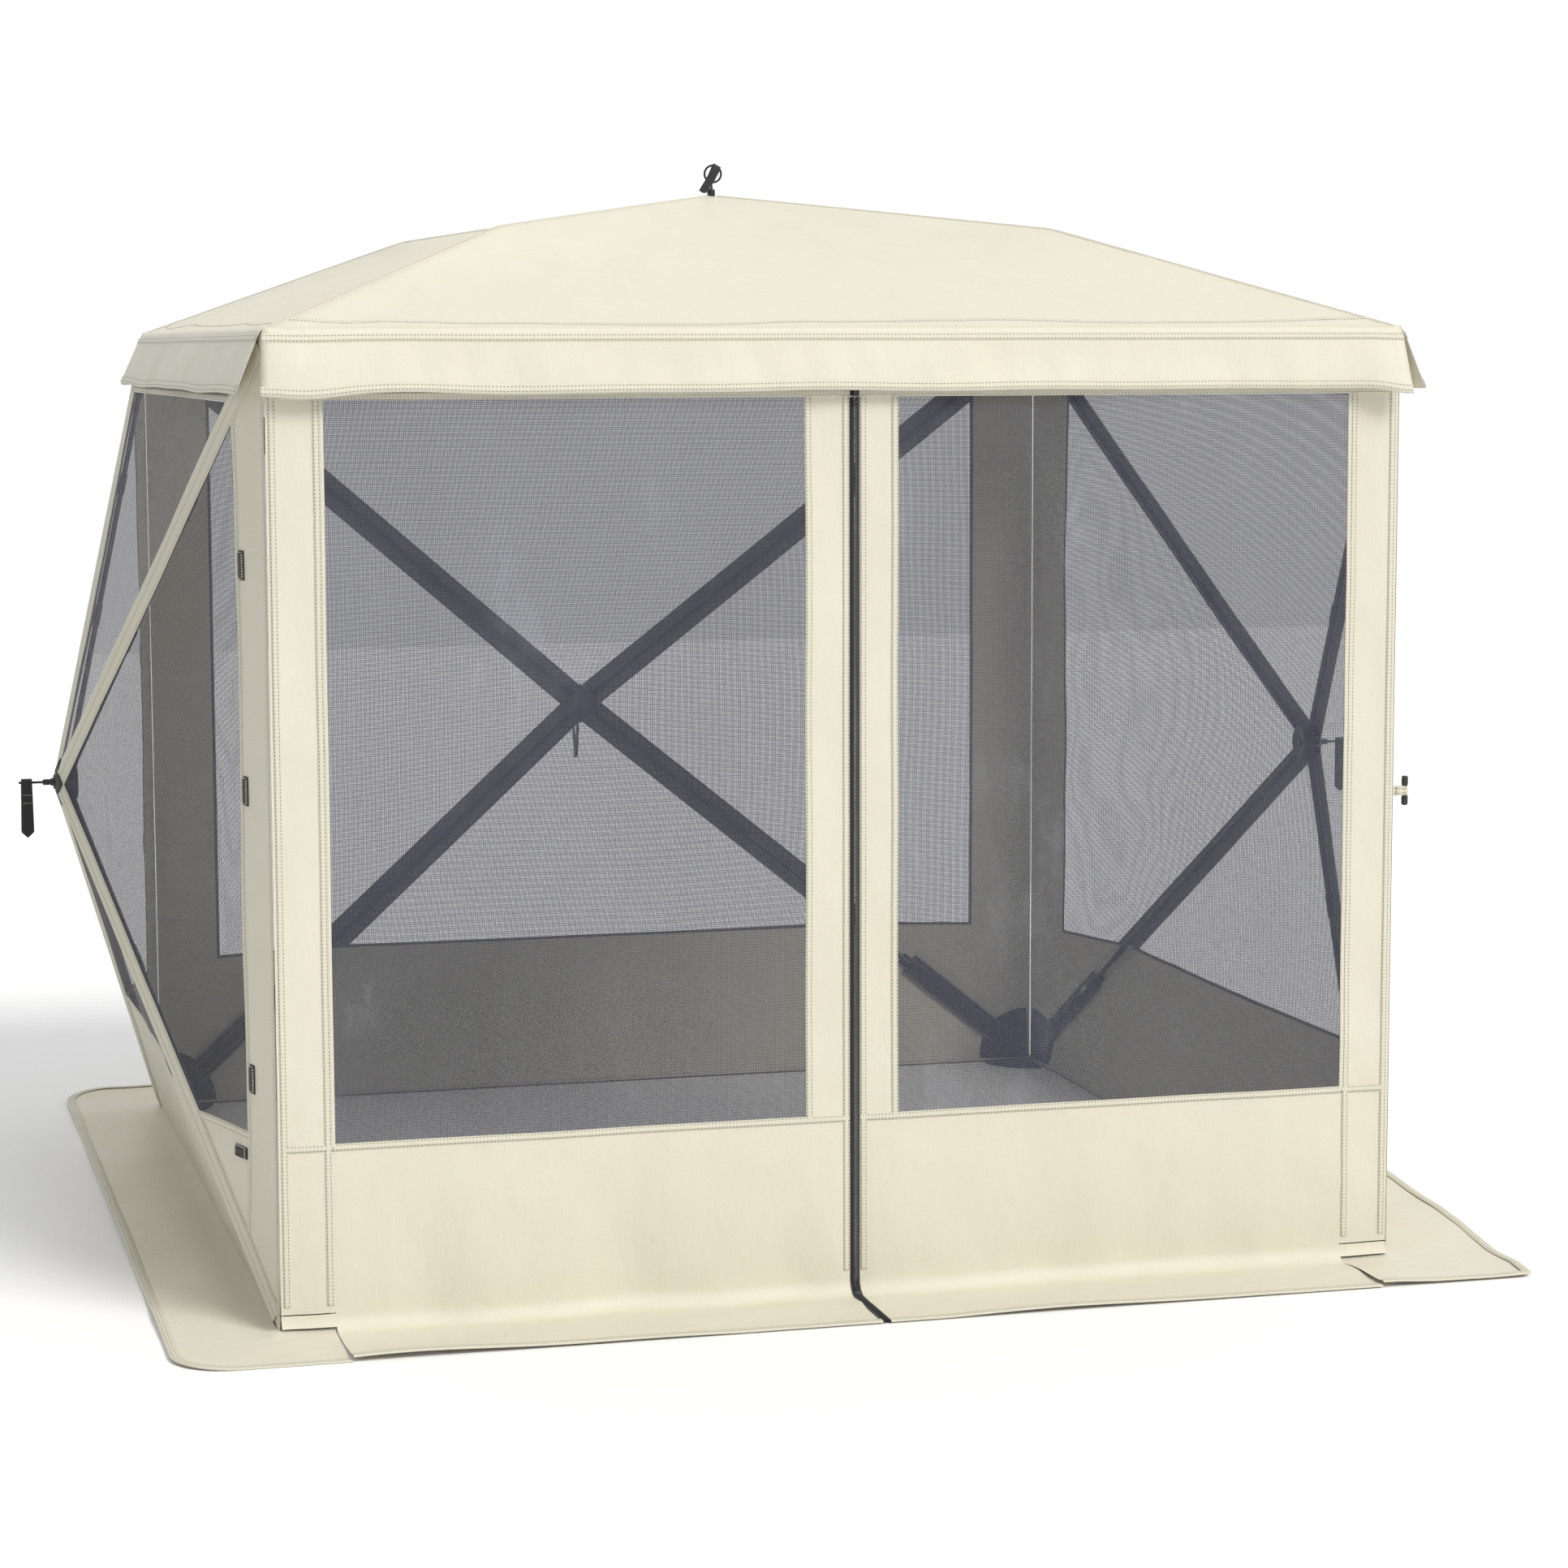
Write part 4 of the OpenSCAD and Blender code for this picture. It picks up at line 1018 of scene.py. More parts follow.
def flat_strap(path, wdir, width, thick, u0=0.0, cup=0.0):
    """Webbing of constant width swept along a path. wdir is the width direction at each point."""
    path = np.asarray(path, float)
    d = np.gradient(path, axis=0); d /= np.linalg.norm(d, axis=1)[:, None]
    wd = np.broadcast_to(np.asarray(wdir, float), path.shape)
    wd = wd - d * (wd * d).sum(1)[:, None]
    wd = wd / np.linalg.norm(wd, axis=1)[:, None]
    nn = np.cross(d, wd)
    width = np.broadcast_to(np.asarray(width, float), (len(path),))
    prof = [(-0.5, 0.0), (-0.485, 0.5), (-0.25, 0.5), (0.0, 0.5), (0.25, 0.5), (0.485, 0.5), (0.5, 0.0), (0.485, -0.5), (0.25, -0.5), (0, -0.5), (-0.25, -0.5), (-0.485, -0.5)]
    P = np.stack([path + wd * (a * width)[:, None] + nn * (l * thick + cup * (a * 2) ** 2) for a, l in prof], 1)
    L = np.concatenate([[0], np.cumsum(np.linalg.norm(np.diff(path, axis=0), axis=1))]) + u0
    U = np.stack(np.broadcast_arrays(L[:, None], np.array([a * width.mean() for a, l in prof])[None, :]), -1)
    p, f, u = grid(P, U, wrap1=True)
    f = list(f)
    k, s = len(p), len(prof)
    f.append(tuple(range(s - 1, -1, -1))); f.append(tuple(range(k - s, k)))
    return p, f, u


def hubm(side):
    """Matrix from the hub's own frame, x along the wall, y up, z outward, to the row frame."""
    if side == "roof":
        return Matrix.Translation((0, -SH, 1.737))
    a = math.radians(WALLA[side])
    return Matrix.Translation((0, -SH, 0)) @ Matrix.Rotation(a, 4, "Z") @ Matrix.Translation((0, -W, H)) @ Matrix.Rotation(math.pi / 2, 4, "X")


def xf(m, p):
    m = np.array(m)
    p = np.asarray(p, float).reshape(-1, 3)
    return p @ m[:3, :3].T + m[:3, 3]


ANG = {"wall": [AU, math.pi - AU, math.pi + AL, 2 * math.pi - AL], "roof": [math.radians(a) for a in (45, 135, 225, 315)]}


def poles():
    for side in ("left", "back", "right", "roof"):
        for k, nm in enumerate(POLES[side]):
            phi = ANG["roof" if side == "roof" else "wall"][k]
            M = hubm(side) @ Matrix.Rotation(phi, 4, "Z")
            p0 = np.array([0.026, 0, 0.265])
            if side == "roof":
                kn, q = np.array([0.768, 0, 0.192]), np.array([1.418, 0, 0.016])
                d1, d2 = (kn - p0) / np.linalg.norm(kn - p0), (q - kn) / np.linalg.norm(q - kn)
                bend = [kn - d1 * 0.05, kn - d1 * 0.03, kn - d1 * 0.012 - np.array([0, 0, 0.0004]), kn - np.array([0, 0, 0.0010]), kn + d2 * 0.012 - np.array([0, 0, 0.0004]), kn + d2 * 0.03, kn + d2 * 0.05]
                path = np.array([p0 + d1 * x for x in np.linspace(0.008, np.linalg.norm(kn - p0) - 0.07, 24)] + bend + [kn + d2 * x for x in np.linspace(0.07, np.linalg.norm(q - kn), 24)])
                fer = [(kn - d1 * 0.075, kn - d1 * 0.003), (kn + d2 * 0.003, kn + d2 * 0.075), (p0 + d1 * 0.36, p0 + d1 * 0.43)]
                de, slen = d2, 0.120
            else:
                q = np.array([1.280, 0, 0.002])
                de = (q - p0) / np.linalg.norm(q - p0)
                path = np.array([p0 + de * x for x in np.linspace(0.008, np.linalg.norm(q - p0), 60)])
                fer = [(p0 + de * 0.42, p0 + de * 0.485), (p0 + de * 0.83, p0 + de * 0.895)]
                slen = 0.300 if k >= 2 else 0.120
            body = f"{side}_pole_{nm}"
            b = Bag()
            p, f, u = tube(path, 0.0057, 14)
            b.add(xf(M, p), f, u, 0)
            for a, c in fer:
                pts = np.array([a + (c - a) * t for t in (0, 0.03, 0.06, 0.5, 0.94, 0.97, 1)])
                p, f, u = tube(pts, [0.0058, 0.0069, 0.0073, 0.0073, 0.0073, 0.0069, 0.0058], 18)
                b.add(xf(M, p), f, u, 1)
            # hub end: forged eye with a neck
            e = []
            for yy, rr in ((-0.0058, 0.0054), (-0.0052, 0.0062), (0.0052, 0.0062), (0.0058, 0.0054)):
                e.append([(0.026 + rr * math.cos(t), yy, 0.265 + rr * math.sin(t)) for t in np.linspace(0, 2 * math.pi, 24, endpoint=False)])
            inner = [[(0.026 + 0.00256 * math.cos(t), yy, 0.265 + 0.00256 * math.sin(t)) for t in np.linspace(0, 2 * math.pi, 24, endpoint=False)] for yy in (0.0058, -0.0058)]
            P = np.array(e + inner)
            p, f, u = grid(P, np.zeros(P.shape[:2] + (2,)), wrap0=True, wrap1=True)
            b.add(xf(M, p), f, u, 1)
            dn = path[1] - path[0]; dn /= np.linalg.norm(dn)
            p, f, u = tube(np.array([p0 + dn * t for t in (0.005, 0.03, 0.045, 0.05)]), [0.0060, 0.0064, 0.0064, 0.0058], 18)
            b.add(xf(M, p), f, u, 1)
            # tip cap
            p, f, u = tube(np.array([q - de * t for t in (0.040, 0.038, 0.002, -0.001, -0.0026, -0.003)]), [0.0062, 0.0078, 0.0078, 0.0068, 0.004, 0.001], 18)
            b.add(xf(M, p), f, u, 1)
            ob = b.out(body + "_rod", [ROD, FER])
            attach(ob, body)
            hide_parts(body)
            # webbing pocket: two layers sewn along both sides of the pole
            ts = np.linspace(0, slen, 22 if slen > 0.2 else 12)
            ctr = np.array([q - de * (slen - t) for t in ts])
            nv = np.cross(de, np.array([0, 1.0, 0]))
            prof = []
            for a in np.linspace(-0.025, 0.025, 15):
                h = 0.0011 + 0.0072 * max(0.0, math.cos(min(1.0, abs(a) / 0.0115) * math.pi / 2)) ** 0.7 if abs(a) < 0.0115 else 0.0011
                prof.append((a, h))
            prof = prof + [(a, -h) for a, h in reversed(prof)]
            wav = smooth_noise(200 + k, 8, 30, 120)
            P = np.stack([ctr + np.array([0, 1.0, 0]) * a + nv * (h + 0.0006 * wav(ts, a)[:, None] * (abs(h) < 0.002)) for a, h in prof], 1)
            U = np.stack(np.broadcast_arrays(ts[:, None], np.array([a for a, h in prof])[None, :]), -1)
            p, f, u = grid(P, U, wrap1=True)
            nP = len(p); s = len(prof)
            f = list(f) + [tuple(range(nP - s, nP))]
            b = Bag().add(xf(M, p), f, u, 0)
            # box stitches as raised thread
            def stitch(t0, t1, a0, a1):
                L = math.hypot(t1 - t0, a1 - a0); n = max(2, int(L / 0.0055))
                for i in range(n):
                    c0 = (i + 0.18) / n; c1 = (i + 0.82) / n
                    A = np.array([t0 + (t1 - t0) * c0, a0 + (a1 - a0) * c0]); B = np.array([t0 + (t1 - t0) * c1, a0 + (a1 - a0) * c1])
                    dd = (B - A) / np.linalg.norm(B - A); pp = np.array([-dd[1], dd[0]]) * 0.00055
                    cs = [A - pp, B - pp, B + pp, A + pp]
                    for sgn in (1, -1):
                        lo = [q - de * (slen - c[0]) + np.array([0, c[1], 0]) + nv * sgn * 0.0008 for c in cs]
                        hi = [q - de * (slen - c[0]) + np.array([0, c[1], 0]) + nv * sgn * 0.0019 for c in cs]
                        b.add(xf(M, np.array(lo + hi)), [(4, 5, 6, 7), (0, 1, 5, 4), (1, 2, 6, 5), (2, 3, 7, 6), (3, 0, 4, 7)], np.zeros((8, 2)), 1)
            for a in (-0.0225, -0.0125, 0.0125, 0.0225):
                stitch(0.004, slen - 0.004, a, a)
            if slen > 0.2:
                stitch(0.004, 0.004, 0.0125, 0.0225); stitch(0.03, 0.03, 0.0125, 0.0225)
                stitch(0.004, 0.004, -0.0225, -0.0125); stitch(0.03, 0.03, -0.0225, -0.0125)
                # end tab folded over the pocket's mouth
                tp = np.array([q - de * (slen + x) + nv * h for x, h in ((-0.020, 0.0100), (0.0, 0.0094), (0.012, 0.0088), (0.022, 0.0072))])
                p, f, u = flat_strap(tp, (0, 1.0, 0), 0.026, 0.0018)
                b.add(xf(M, p), f, u, 0)
                if side == "right" and nm == "lower_back":
                    tp = np.array([q - de * (slen - x) - nv * (0.0098 - 0.0002) for x in (0.030, 0.044, 0.058)])
                    p, f, u = flat_strap(tp, (0, 1.0, 0), 0.013, 0.0012)
                    b.add(xf(M, p), f, u, 1)
            ob = b.out(body + "_pocket", [WEB, THREAD])
            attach(ob, body)


def hubs():
    for side in ("left", "back", "right", "roof"):
        M = hubm(side)
        body = side + "_hub"
        kind = "roof" if side == "roof" else "wall"
        # moulded cover on the inner face: rim, dished web, centre cap and screws
        b = Bag()
        prof = [(0.0002, 0.2497), (0.006, 0.2495), (0.0086, 0.2502), (0.0092, 0.2520), (0.0125, 0.2522), (0.0135, 0.2512), (0.026, 0.2508), (0.0285, 0.2496),
                (0.0325, 0.2490), (0.0352, 0.2500), (0.0358, 0.2530), (0.0352, 0.2536), (0.0002, 0.2534)]
        p, f, u = lathe(prof, 56)
        b.add(xf(M, p), f, u, 0)
        # grip ribs around the rim
        for i in range(24):
            a = i * math.pi / 12 + 0.13
            ca, sa = math.cos(a), math.sin(a)
            p, f, u = tube(np.array([(0.0362 * ca, 0.0362 * sa, z) for z in (0.2545, 0.2555, 0.275, 0.276)]), [0.0005, 0.0011, 0.0011, 0.0005], 8)
            if min(abs((a - x + math.pi) % (2 * math.pi) - math.pi) for x in ANG[kind]) > 0.24:
                b.add(xf(M, p), f, u, 0)
        for a in ANG[kind]:
            a2 = a + math.pi / 4 if side == "roof" else (a + {0: -AU, 1: AU, 2: -AL, 3: AL}[ANG[kind].index(a)])
            c, s = 0.0195 * math.cos(a2), 0.0195 * math.sin(a2)
            sp, sf, su = lathe([(0.0001, 0.2503), (0.0016, 0.2500), (0.0030, 0.2496), (0.0034, 0.2502), (0.0034, 0.2515)], 20)
            b.add(xf(M, sp + np.array([c, s, 0])), sf, su, 1)
        # outer cap and collar round the post
        p, f, u = lathe([(0.0002, 0.2775), (0.030, 0.2772), (0.0335, 0.2776), (0.035, 0.2768), (0.035, 0.2764)], 48)
        b.add(xf(M, p), f, u, 0)
        ob = b.out(side + "_hub_cover", [PLA, METAL])
        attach(ob, body)
        for n in (side + "_hub_body",):
            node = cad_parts[n]
            node.data.materials.clear(); node.data.materials.append(PLA)
        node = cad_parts[side + "_hub_pins"]
        node.data.materials.clear(); node.data.materials.append(STEEL)
        # black diamond over the cloth, with a grommet
        if side != "roof":
            b = Bag()
            ns, nt = 10, 10
            per = []
            R = 0.048
            cs = [(0, -R), (R, 0), (0, R), (-R, 0)]
            for i in range(4):
                a, c = cs[i], cs[(i + 1) % 4]
                for k in range(nt):
                    per.append((a[0] + (c[0] - a[0]) * k / nt, a[1] + (c[1] - a[1]) * k / nt))
            per = np.array(per)
            ss = np.concatenate([np.linspace(0.26, 0.94, ns), [0.985, 1.0]])
            lift = np.concatenate([np.full(ns, 0.0046), [0.0044, 0.0024]])
            uu = ss[:, None] * per[None, :, 0]; zz = H + ss[:, None] * per[None, :, 1]
            def diamond_n(u, z):
                v = np.minimum(np.minimum(z / H, (E - z) / (E - H)), (W - np.abs(u)) / W)
                return D * v
            P = wallpt(side, uu, zz, diamond_n(uu, zz) + lift[:, None])
            p, f, uv = grid(P, np.stack([uu, zz], -1), wrap1=True)
            b.add(p, f, uv, 0)
            ndash = 18
            for i in range(4):
                a, c = np.array(cs[i]) * 0.9, np.array(cs[(i + 1) % 4]) * 0.9
                for k in range(ndash):
                    A, B = a + (c - a) * (k + 0.2) / ndash, a + (c - a) * (k + 0.75) / ndash
                    dd = (B - A) / np.linalg.norm(B - A); pp = np.array([-dd[1], dd[0]]) * 0.0004
                    q4 = np.array([A - pp, B - pp, B + pp, A + pp])
                    lo = wallpt(side, q4[:, 0], H + q4[:, 1], diamond_n(q4[:, 0], H + q4[:, 1]) + 0.0044)
                    hi = wallpt(side, q4[:, 0], H + q4[:, 1], diamond_n(q4[:, 0], H + q4[:, 1]) + 0.0052)
                    b.add(np.concatenate([lo, hi]), [(4, 5, 6, 7), (0, 1, 5, 4), (1, 2, 6, 5), (2, 3, 7, 6), (3, 0, 4, 7)], np.zeros((8, 2)), 1)
            g = lathe([(0.0095, 0.2925), (0.0100, 0.2945), (0.0115, 0.2953), (0.0138, 0.2948), (0.0142, 0.2935), (0.0138, 0.2925)], 36)
            b.add(xf(M, g[0]), g[1], g[2], 2)
            ob = b.out(side + "_hub_diamond", [OXF, HOOKM, PLA])
            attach(ob, body)
            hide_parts(side + "_hub_patch")
            # two rounded tabs on the inside of the net, behind the drum
            b = Bag()
            for sy in (1, -1):
                tp = np.array([(-0.030 - 0.004 * t, sy * (0.012 + 0.016 * t), 0.2845 - 0.010 * t - 0.0105 * abs(0.012 + 0.016 * t) / 0.03) for t in np.linspace(0, 1.0, 7)])
                p, f, u = flat_strap(tp, (1.0, 0.25 * sy, 0), [0.014, 0.020, 0.022, 0.022, 0.021, 0.017, 0.009], 0.0018)
                b.add(xf(M, p), f, u, 0)
            ob = b.out(side + "_hub_tabs", [OXF])
            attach(ob, body)
        pull(side, M, body)


def pull(side, M, body):
    b = Bag()
    if side == "roof":
        # collar, stem and round loop of one cord
        p, f, u = lathe([(0.0002, 0.2912), (0.0074, 0.2914), (0.0080, 0.2922), (0.0080, 0.2956), (0.0073, 0.2962), (0.004, 0.2978), (0.0028, 0.2995), (0.0002, 0.2998)], 32)
        b.add(xf(M, p), f, u, 1)
        cx, cz, R = 0.0035, 0.328, 0.0168
        path = [(0.0012, 0, 0.296), (0.0014, 0, 0.300), (0.0008, 0, 0.305), (-0.0012, 0.0006, 0.3095), (-0.0045, 0.0014, 0.3135), (-0.0085, 0.0016, 0.3165)]
        for a in np.linspace(-142, -142 - 372 + 62, 60):
            t = math.radians(a)
            path.append((cx + R * math.cos(t), 0.0, cz + R * math.sin(t)))
        path = np.array(path)
        path[6:, 1] = np.linspace(0.0012, -0.0030, len(path) - 6)
        p, f, u = tube(smooth_path(path, 110), 0.0021, 12)
        b.add(xf(M, p), f, u, 0)
    else:
        p, f, u = lathe([(0.0002, 0.2912), (0.0068, 0.2912), (0.0075, 0.2922), (0.0075, 0.2995), (0.0068, 0.3008), (0.0056, 0.3012), (0.0058, 0.3030), (0.0058, 0.3135), (0.0050, 0.3155), (0.0030, 0.3162), (0.0002, 0.3163)], 32)
        b.add(xf(M, p), f, u, 1)
        for zz in (0.3065, 0.3100):
            p, f, u = lathe([(0.0056, zz - 0.0009), (0.0063, zz - 0.0005), (0.0063, zz + 0.0005), (0.0056, zz + 0.0009)], 28)
            b.add(xf(M, p), f, u, 1)
        path = [(-0.0024, 0, z) for z in np.linspace(0.314, 0.330, 5)] + [(-0.0032, 0, z) for z in np.linspace(0.338, 0.356, 5)]
        path += [(-0.0032 * math.cos(t), 0, 0.358 + 0.0032 * math.sin(t)) for t in np.linspace(0.2, math.pi - 0.2, 7)]
        path += [(0.0032, 0, z) for z in np.linspace(0.356, 0.338, 5)] + [(0.0024, 0, z) for z in np.linspace(0.330, 0.314, 5)]
        p, f, u = tube(smooth_path(np.array(path), 70), 0.0021, 12)
        b.add(xf(M, p), f, u, 0)
    ob = b.out(side + "_pull_cord_loop", [CORD, PLA])
    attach(ob, body)
    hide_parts(side + "_pull_cord")
    b = Bag()
    if side == "roof":
        sa = math.radians(62)
        c = np.array([0.0035 + 0.0154 * math.cos(sa), 0, 0.328 + 0.0154 * math.sin(sa)])
        tx = np.array([math.sin(sa), 0, -math.cos(sa)])            # along the loop where the strap hangs
        dn = np.array([-math.cos(sa), 0, -math.sin(sa)])
        fy = np.array([0, -1.0, 0])
        loop = [c + dn * 0.0290 + fy * 0.0042]
        for a in np.linspace(-70, 250, 15):
            t = math.radians(a)
            loop.append(c + fy * (math.cos(t) * 0.0040) - dn * (math.sin(t) * 0.0040))
        loop.append(c + dn * 0.012 + fy * 0.0008)
        path = [c + dn * x - tx * max(0.0, x - 0.03) * 0.12 + fy * (0.0050 + 0.0012 * math.sin(x * 60) + max(0.0, x - 0.036) * 0.10) for x in np.linspace(0.060, 0.012, 14)] + [c + fy * 0.0044] + \
               [c - dn * 0.0028 + fy * 0.0032, c - dn * 0.0042 + fy * 0.0, c - dn * 0.0028 - fy * 0.0032, c - fy * 0.0040, c + dn * 0.008 - fy * 0.0010, c + dn * 0.020 + fy * 0.0026, c + dn * 0.034 + fy * 0.0032]
        path = smooth_path(np.array(path), 60)
        wds = np.interp(np.linspace(0, 1, 60), [0, 0.12, 0.5, 0.62, 0.75, 1], [0.0150, 0.0165, 0.018, 0.0165, 0.0165, 0.017])
        p, f, u = flat_strap(path, tx, wds, 0.0016)
        # the free end is cut level, where it rests on the roof
        q = np.asarray(p)
        low = 0.2895
        q[:, 2] = np.where(q[:, 2] < low, low + (q[:, 2] - low) * 0.05, q[:, 2])
        b.add(xf(M, q), f, u, 0)
        ob = b.out(side + "_pull_webbing", [WEB, THREAD])
    else:
        ln = 0.138 if side == "back" else 0.108
        zc = 0.347
        r = 0.0073
        sway = 0.004 if side == "left" else -0.003
        # outer leg, round the cord, inner leg
        leg = lambda s0, x: [(x * (1 - 0.75 * t) + sway * math.sin(t * 2.2) * 0.6, -0.006 - (ln - 0.006) * t, zc) for t in s0]
        path = leg(np.linspace(1.0, 0.06, 22), r)
        path += [(r * math.cos(t), r * math.sin(t), zc) for t in np.linspace(0.1, math.pi - 0.1, 12)]
        path += [(x - 0.0001, y, z) for x, y, z in leg(np.linspace(0.06, 0.985, 22), -r)]
        path = smooth_path(np.array(path), 90)
        tt = np.linspace(0, 1, 90)
        dist = np.abs(tt - 0.5) * 2
        wds = 0.0205 + 0.0050 * np.clip(dist, 0, 1)
        if side != "back":
            wds = wds * np.clip((1.0 - dist) / 0.10 + 0.10, 0, 1)
        p, f, u = flat_strap(path, (0, 0, 1.0), wds, 0.0014)
        b.add(xf(M, p), f, u, 0)
        # cross stitches and the eyelet
        for yy in (-0.024, -0.040):
            for k in range(6):
                z0 = zc - 0.008 + k * 0.0028
                for sx in (-1, 1):
                    xx = sx * (abs(np.interp(-yy, [0.006, ln], [r, r * 0.25])) + 0.0007) + sway * math.sin((-yy / ln) * 2.2) * 0.6
                    q4 = np.array([(xx, yy - 0.0005, z0), (xx, yy - 0.0005, z0 + 0.0018), (xx, yy + 0.0005, z0 + 0.0018), (xx, yy + 0.0005, z0)])
                    q8 = np.concatenate([q4, q4 + np.array([sx * 0.0005, 0, 0])])
                    b.add(xf(M, q8), [(4, 5, 6, 7), (0, 1, 5, 4), (1, 2, 6, 5), (2, 3, 7, 6), (3, 0, 4, 7), (3, 2, 1, 0)], np.zeros((8, 2)), 1)
        g = lathe([(0.0018, -0.0028), (0.0022, -0.0034), (0.0036, -0.0034), (0.0042, -0.0026), (0.0042, 0.0026), (0.0036, 0.0034), (0.0022, 0.0034), (0.0018, 0.0028), (0.0018, -0.0028)], 24)
        G = Matrix.Translation((sway * 0.45, -ln + 0.016, zc)) @ Matrix.Rotation(math.pi / 2, 4, "Y")
        b.add(xf(M @ G, g[0]), g[1], g[2], 2)
        ob = b.out(side + "_pull_webbing", [WEB, THREAD, METAL])
    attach(ob, side + "_strap")
    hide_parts(side + "_pull_strap")


def smooth_path(P, n):
    """Even, rounded resampling of a path."""
    P = np.asarray(P, float)
    L = np.concatenate([[0], np.cumsum(np.linalg.norm(np.diff(P, axis=0), axis=1))])
    t = np.linspace(0, L[-1], n * 4)
    Q = np.stack([np.interp(t, L, P[:, i]) for i in range(3)], -1)
    for _ in range(12):
        Q[1:-1] = (Q[:-2] + 2 * Q[1:-1] + Q[2:]) / 4
    return Q[np.linspace(0, len(Q) - 1, n).astype(int)]


# ---------------------------------------------------------------- toggle, zip top
def fittings():
    c = np.array([1.080, -1.020 - SH, 0.888])
    prof = [(0.0002, -0.0276), (0.0040, -0.0275), (0.0056, -0.0262), (0.0061, -0.0240), (0.0061, -0.0120), (0.0052, -0.0095), (0.0041, -0.0072), (0.0038, -0.0040), (0.0038, 0.0040), (0.0041, 0.0072), (0.0052, 0.0095), (0.0061, 0.0120), (0.0061, 0.0240), (0.0056, 0.0262), (0.0040, 0.0275), (0.0002, 0.0276)]
    p, f, u = lathe(prof, 32)
    b = Bag().add(p + c, f, u, 0)
    for z in (-0.0215, -0.0185, -0.0155, 0.0155, 0.0185, 0.0215):
        p, f, u = lathe([(0.0058, z - 0.0008), (0.0064, z - 0.0004), (0.0064, z + 0.0004), (0.0058, z + 0.0008)], 32)
        b.add(p + c, f, u, 0)
    ob = b.out("toggle_barrel", [PLA])
    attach(ob, "toggle"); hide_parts("toggle")
    # loop: webbing from the seam, round the waist and back, with a bar tack
    out0 = 1.0535
    path = [(out0 - 0.0005, -1.0175 - SH, 0.888), (1.060, -1.0172 - SH, 0.888), (1.068, -1.0160 - SH, 0.888)]
    path += [(c[0] + 0.0058 * math.cos(t), c[1] + 0.0058 * math.sin(t), 0.888) for t in np.linspace(2.5, -2.5, 16)]
    path += [(1.068, -1.0240 - SH, 0.888), (1.060, -1.0225 - SH, 0.888), (out0 + 0.0003, -1.0222 - SH, 0.888)]
    P = smooth_path(np.array(path), 50)
    wd = np.interp(np.linspace(0, 1, 50), [0, 0.32, 0.42, 0.58, 0.68, 1], [0.019, 0.018, 0.0115, 0.0115, 0.018, 0.019])
    p, f, u = flat_strap(P, (0, 0, 1.0), wd, 0.0012)
    b = Bag().add(p, f, u, 0)
    for k in range(7):
        z0 = 0.8805 + k * 0.0025
        q = np.array([(1.0615, -1.0142 - SH, z0), (1.0625, -1.0142 - SH, z0), (1.0625, -1.0142 - SH, z0 + 0.0016), (1.0615, -1.0142 - SH, z0 + 0.0016)])
        b.add(np.concatenate([q, q - np.array([0, 0.0112, 0])]), [(0, 1, 2, 3), (7, 6, 5, 4), (0, 4, 5, 1), (1, 5, 6, 2), (2, 6, 7, 3), (3, 7, 4, 0)], np.zeros((8, 2)), 1)
    ob = b.out("toggle_webbing_loop", [SEAM, THREAD])
    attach(ob, "shelter"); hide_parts("toggle_loop")
    # closed top of the zip
    b = Bag()
    zs = np.linspace(1.6305, 1.697, 12)
    prof = [(-0.0088, 0.0004), (-0.0086, 0.0018), (-0.0040, 0.0020), (0.0, 0.0021), (0.0040, 0.0020), (0.0086, 0.0018), (0.0088, 0.0004)]
    P = np.stack([wallpt("front", np.full(zs.shape, x), zs, np.full(zs.shape, l)) for x, l in prof], 1)
    p, f, u = grid(P, np.stack(np.broadcast_arrays(zs[:, None], np.array([x for x, l in prof])[None, :]), -1))
    b.add(p, f, u, 0)
    for i, z in enumerate(np.arange(1.632, 1.696, 0.0015)):
        sg = -1 if i % 2 else 1
        x0, x1 = sorted((-0.0004 * sg, 0.0052 * sg))
        q = np.array([[x, -W - 0.0018 - dy - SH, z + dz] for dy in (0.0, 0.0021) for x in (x0, x1) for dz in (-0.0009, 0.0009)])
        b.add(q, [(0, 1, 3, 2), (4, 6, 7, 5), (0, 4, 5, 1), (2, 3, 7, 6), (1, 5, 7, 3), (0, 2, 6, 4)], np.zeros((8, 2)), 1)
    ob = b.out("zip_top", [ZTAPE, ZIPM], smooth=False)
    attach(ob, "shelter"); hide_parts("zip_top_tape")
    for n in ("zip_slider", "zip_pull"):
        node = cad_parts[n]
        node.data.materials.clear(); node.data.materials.append(METAL)


# ---------------------------------------------------------------- build
for s in ("left", "back", "right"):
    hub_wall(s)
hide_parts("wall_borders", "lower_panels")
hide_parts("pole_bands")
front_border()
door("left")
door("right")
roof()
valance()
skirts()
corner_patches()
hook_patches()
poles()
hubs()
fittings()

# ---------------------------------------------------------------- stage and light
def stage_plane():
    me = bpy.data.meshes.new("floor")
    me.from_pydata([(-40, -40, 0), (40, -40, 0), (40, 60, 0), (-40, 60, 0)], [], [(0, 1, 2, 3)])
    ob = bpy.data.objects.new("floor", me)
    scene.collection.objects.link(ob)
    q = NT("floor_paper")
    q.set(Roughness=0.9, Specular_IOR_Level=0.1)
    q.link(q.mix(q.noise(q.obj(), 0.8, 2), (0.93, 0.93, 0.93), (0.95, 0.95, 0.95)), q.p.inputs["Base Color"])
    me.materials.append(q.m)


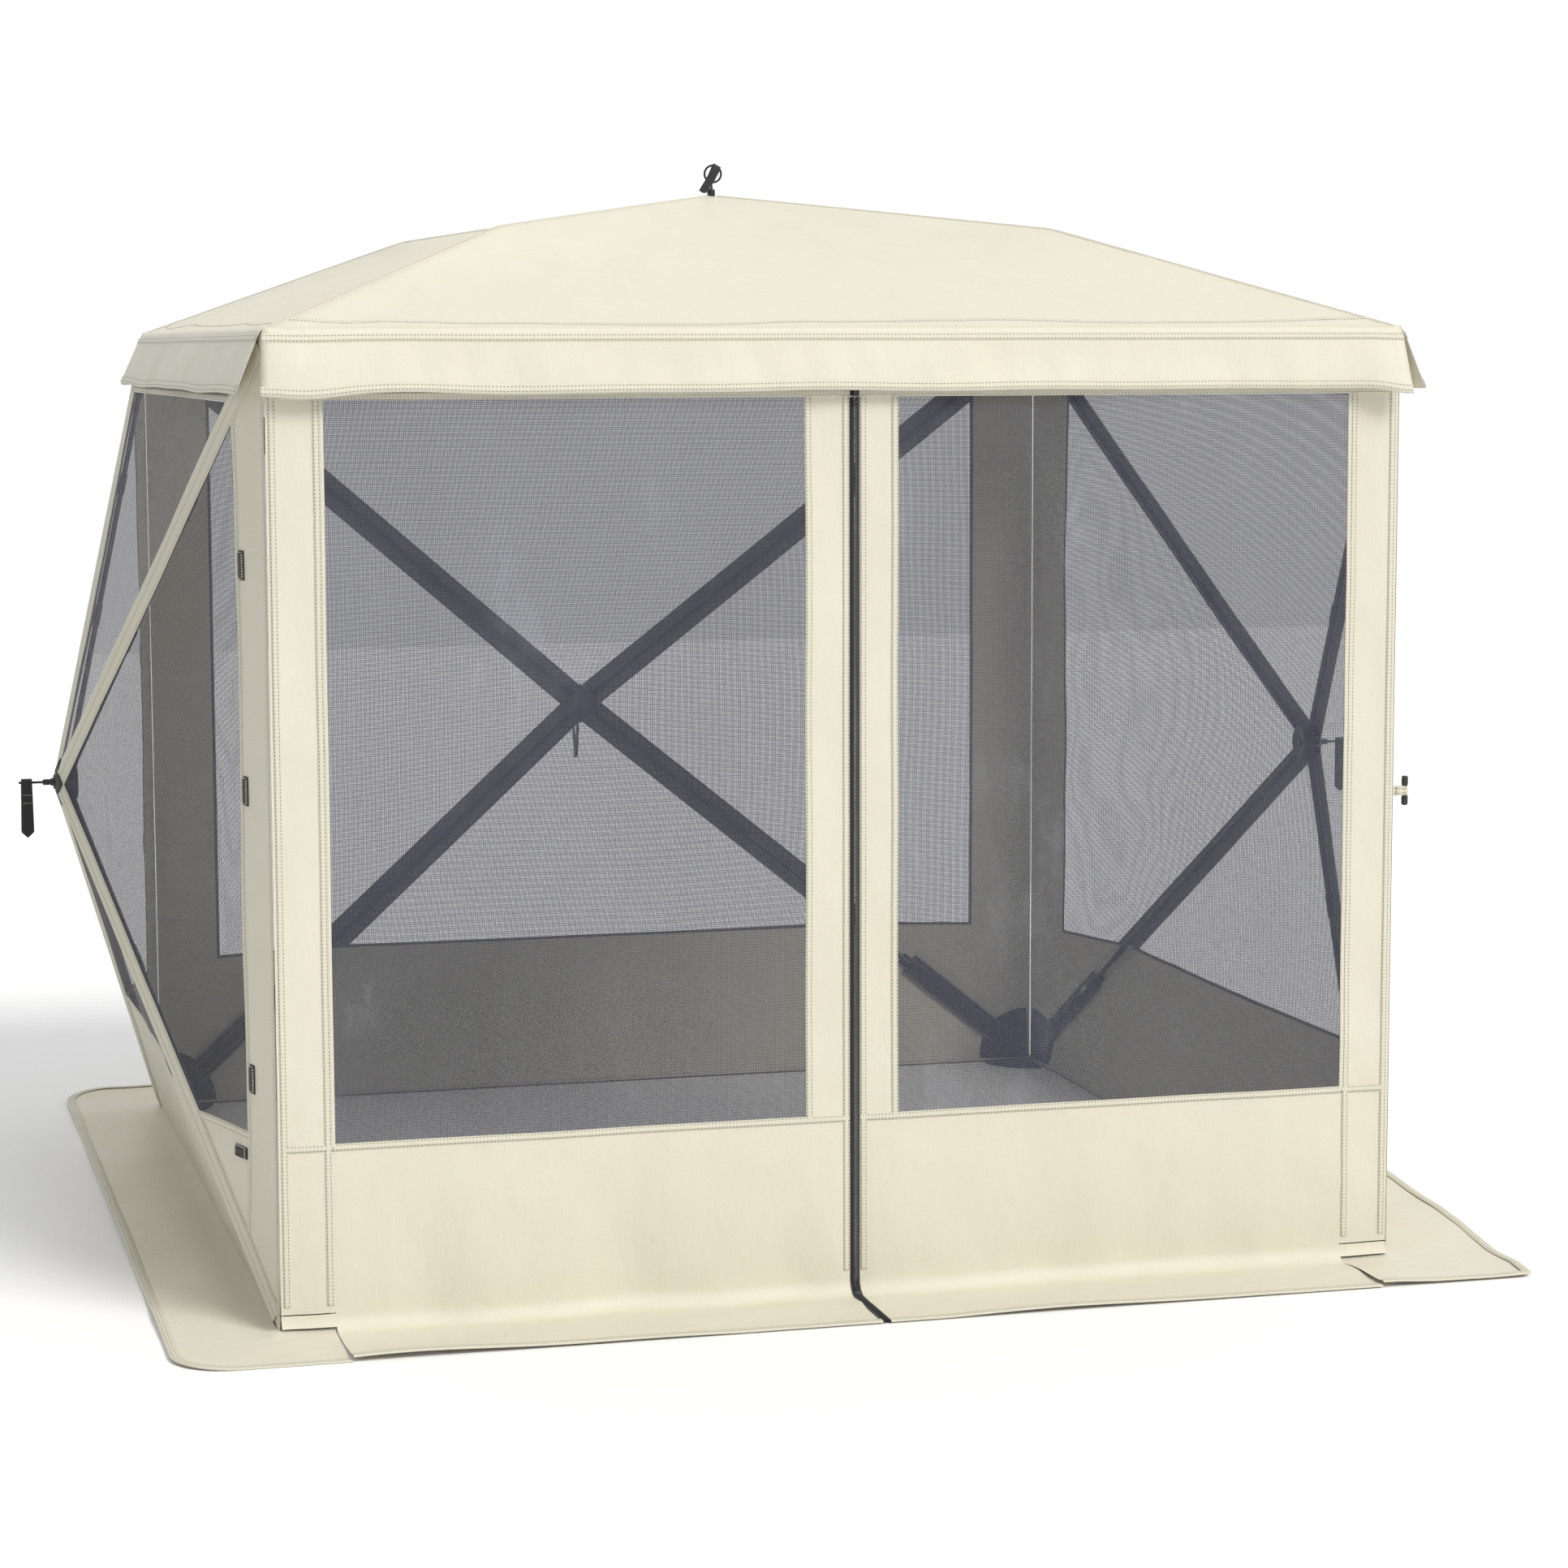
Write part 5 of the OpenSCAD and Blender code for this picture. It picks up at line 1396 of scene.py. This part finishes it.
stage_plane()


def backdrop():
    me = bpy.data.meshes.new("backdrop")
    me.from_pydata([(-30, 14, -0.5), (30, 14, -0.5), (30, 14, 16), (-30, 14, 16)], [], [(0, 1, 2, 3)])
    ob = bpy.data.objects.new("backdrop", me)
    scene.collection.objects.link(ob)
    m = bpy.data.materials.new("backdrop_light")
    m.use_nodes = True
    t = m.node_tree
    for n in list(t.nodes):
        t.nodes.remove(n)
    o, e = t.nodes.new("ShaderNodeOutputMaterial"), t.nodes.new("ShaderNodeEmission")
    e.inputs[0].default_value, e.inputs[1].default_value = (1, 1, 1, 1), 1.0
    t.links.new(e.outputs[0], o.inputs[0])
    me.materials.append(m)


backdrop()


def flag():
    """Dark board to the left that takes some fill light off the left wall."""
    me = bpy.data.meshes.new("flag")
    me.from_pydata([(-4.9, -5.0, 0.35), (-4.9, 3.5, 0.35), (-4.9, 3.5, 1.9), (-4.9, -5.0, 1.9)], [], [(0, 1, 2, 3)])
    ob = bpy.data.objects.new("flag", me)
    scene.collection.objects.link(ob)
    q = NT("flag_board")
    q.set(Roughness=0.95, Base_Color=(0.08, 0.08, 0.08, 1))
    me.materials.append(q.m)


flag()


def sun(name, d, k, angle, col):
    """Distant light from direction d. k is the brightness it gives a white surface that faces it."""
    L = bpy.data.lights.new(name, "SUN")
    L.energy, L.angle, L.color = k * math.pi, math.radians(angle), col
    ob = bpy.data.objects.new(name, L)
    scene.collection.objects.link(ob)
    ob.rotation_euler = Vector(d).to_track_quat("Z", "Y").to_euler()


sun("key", (0.42, -0.60, 0.68), 0.70, 24, (1.0, 0.985, 0.955))
sun("overhead", (0.05, 0.10, 1.0), 0.14, 60, (1.0, 1.0, 1.0))
wd = bpy.data.worlds.new("studio")
scene.world = wd
wd.use_nodes = True
bg = wd.node_tree.nodes.get("Background") or wd.node_tree.nodes.new("ShaderNodeBackground")
bg.inputs[0].default_value = (0.985, 0.99, 1.0, 1)
bg.inputs[1].default_value = 0.57
scene.view_settings.view_transform = "Standard"
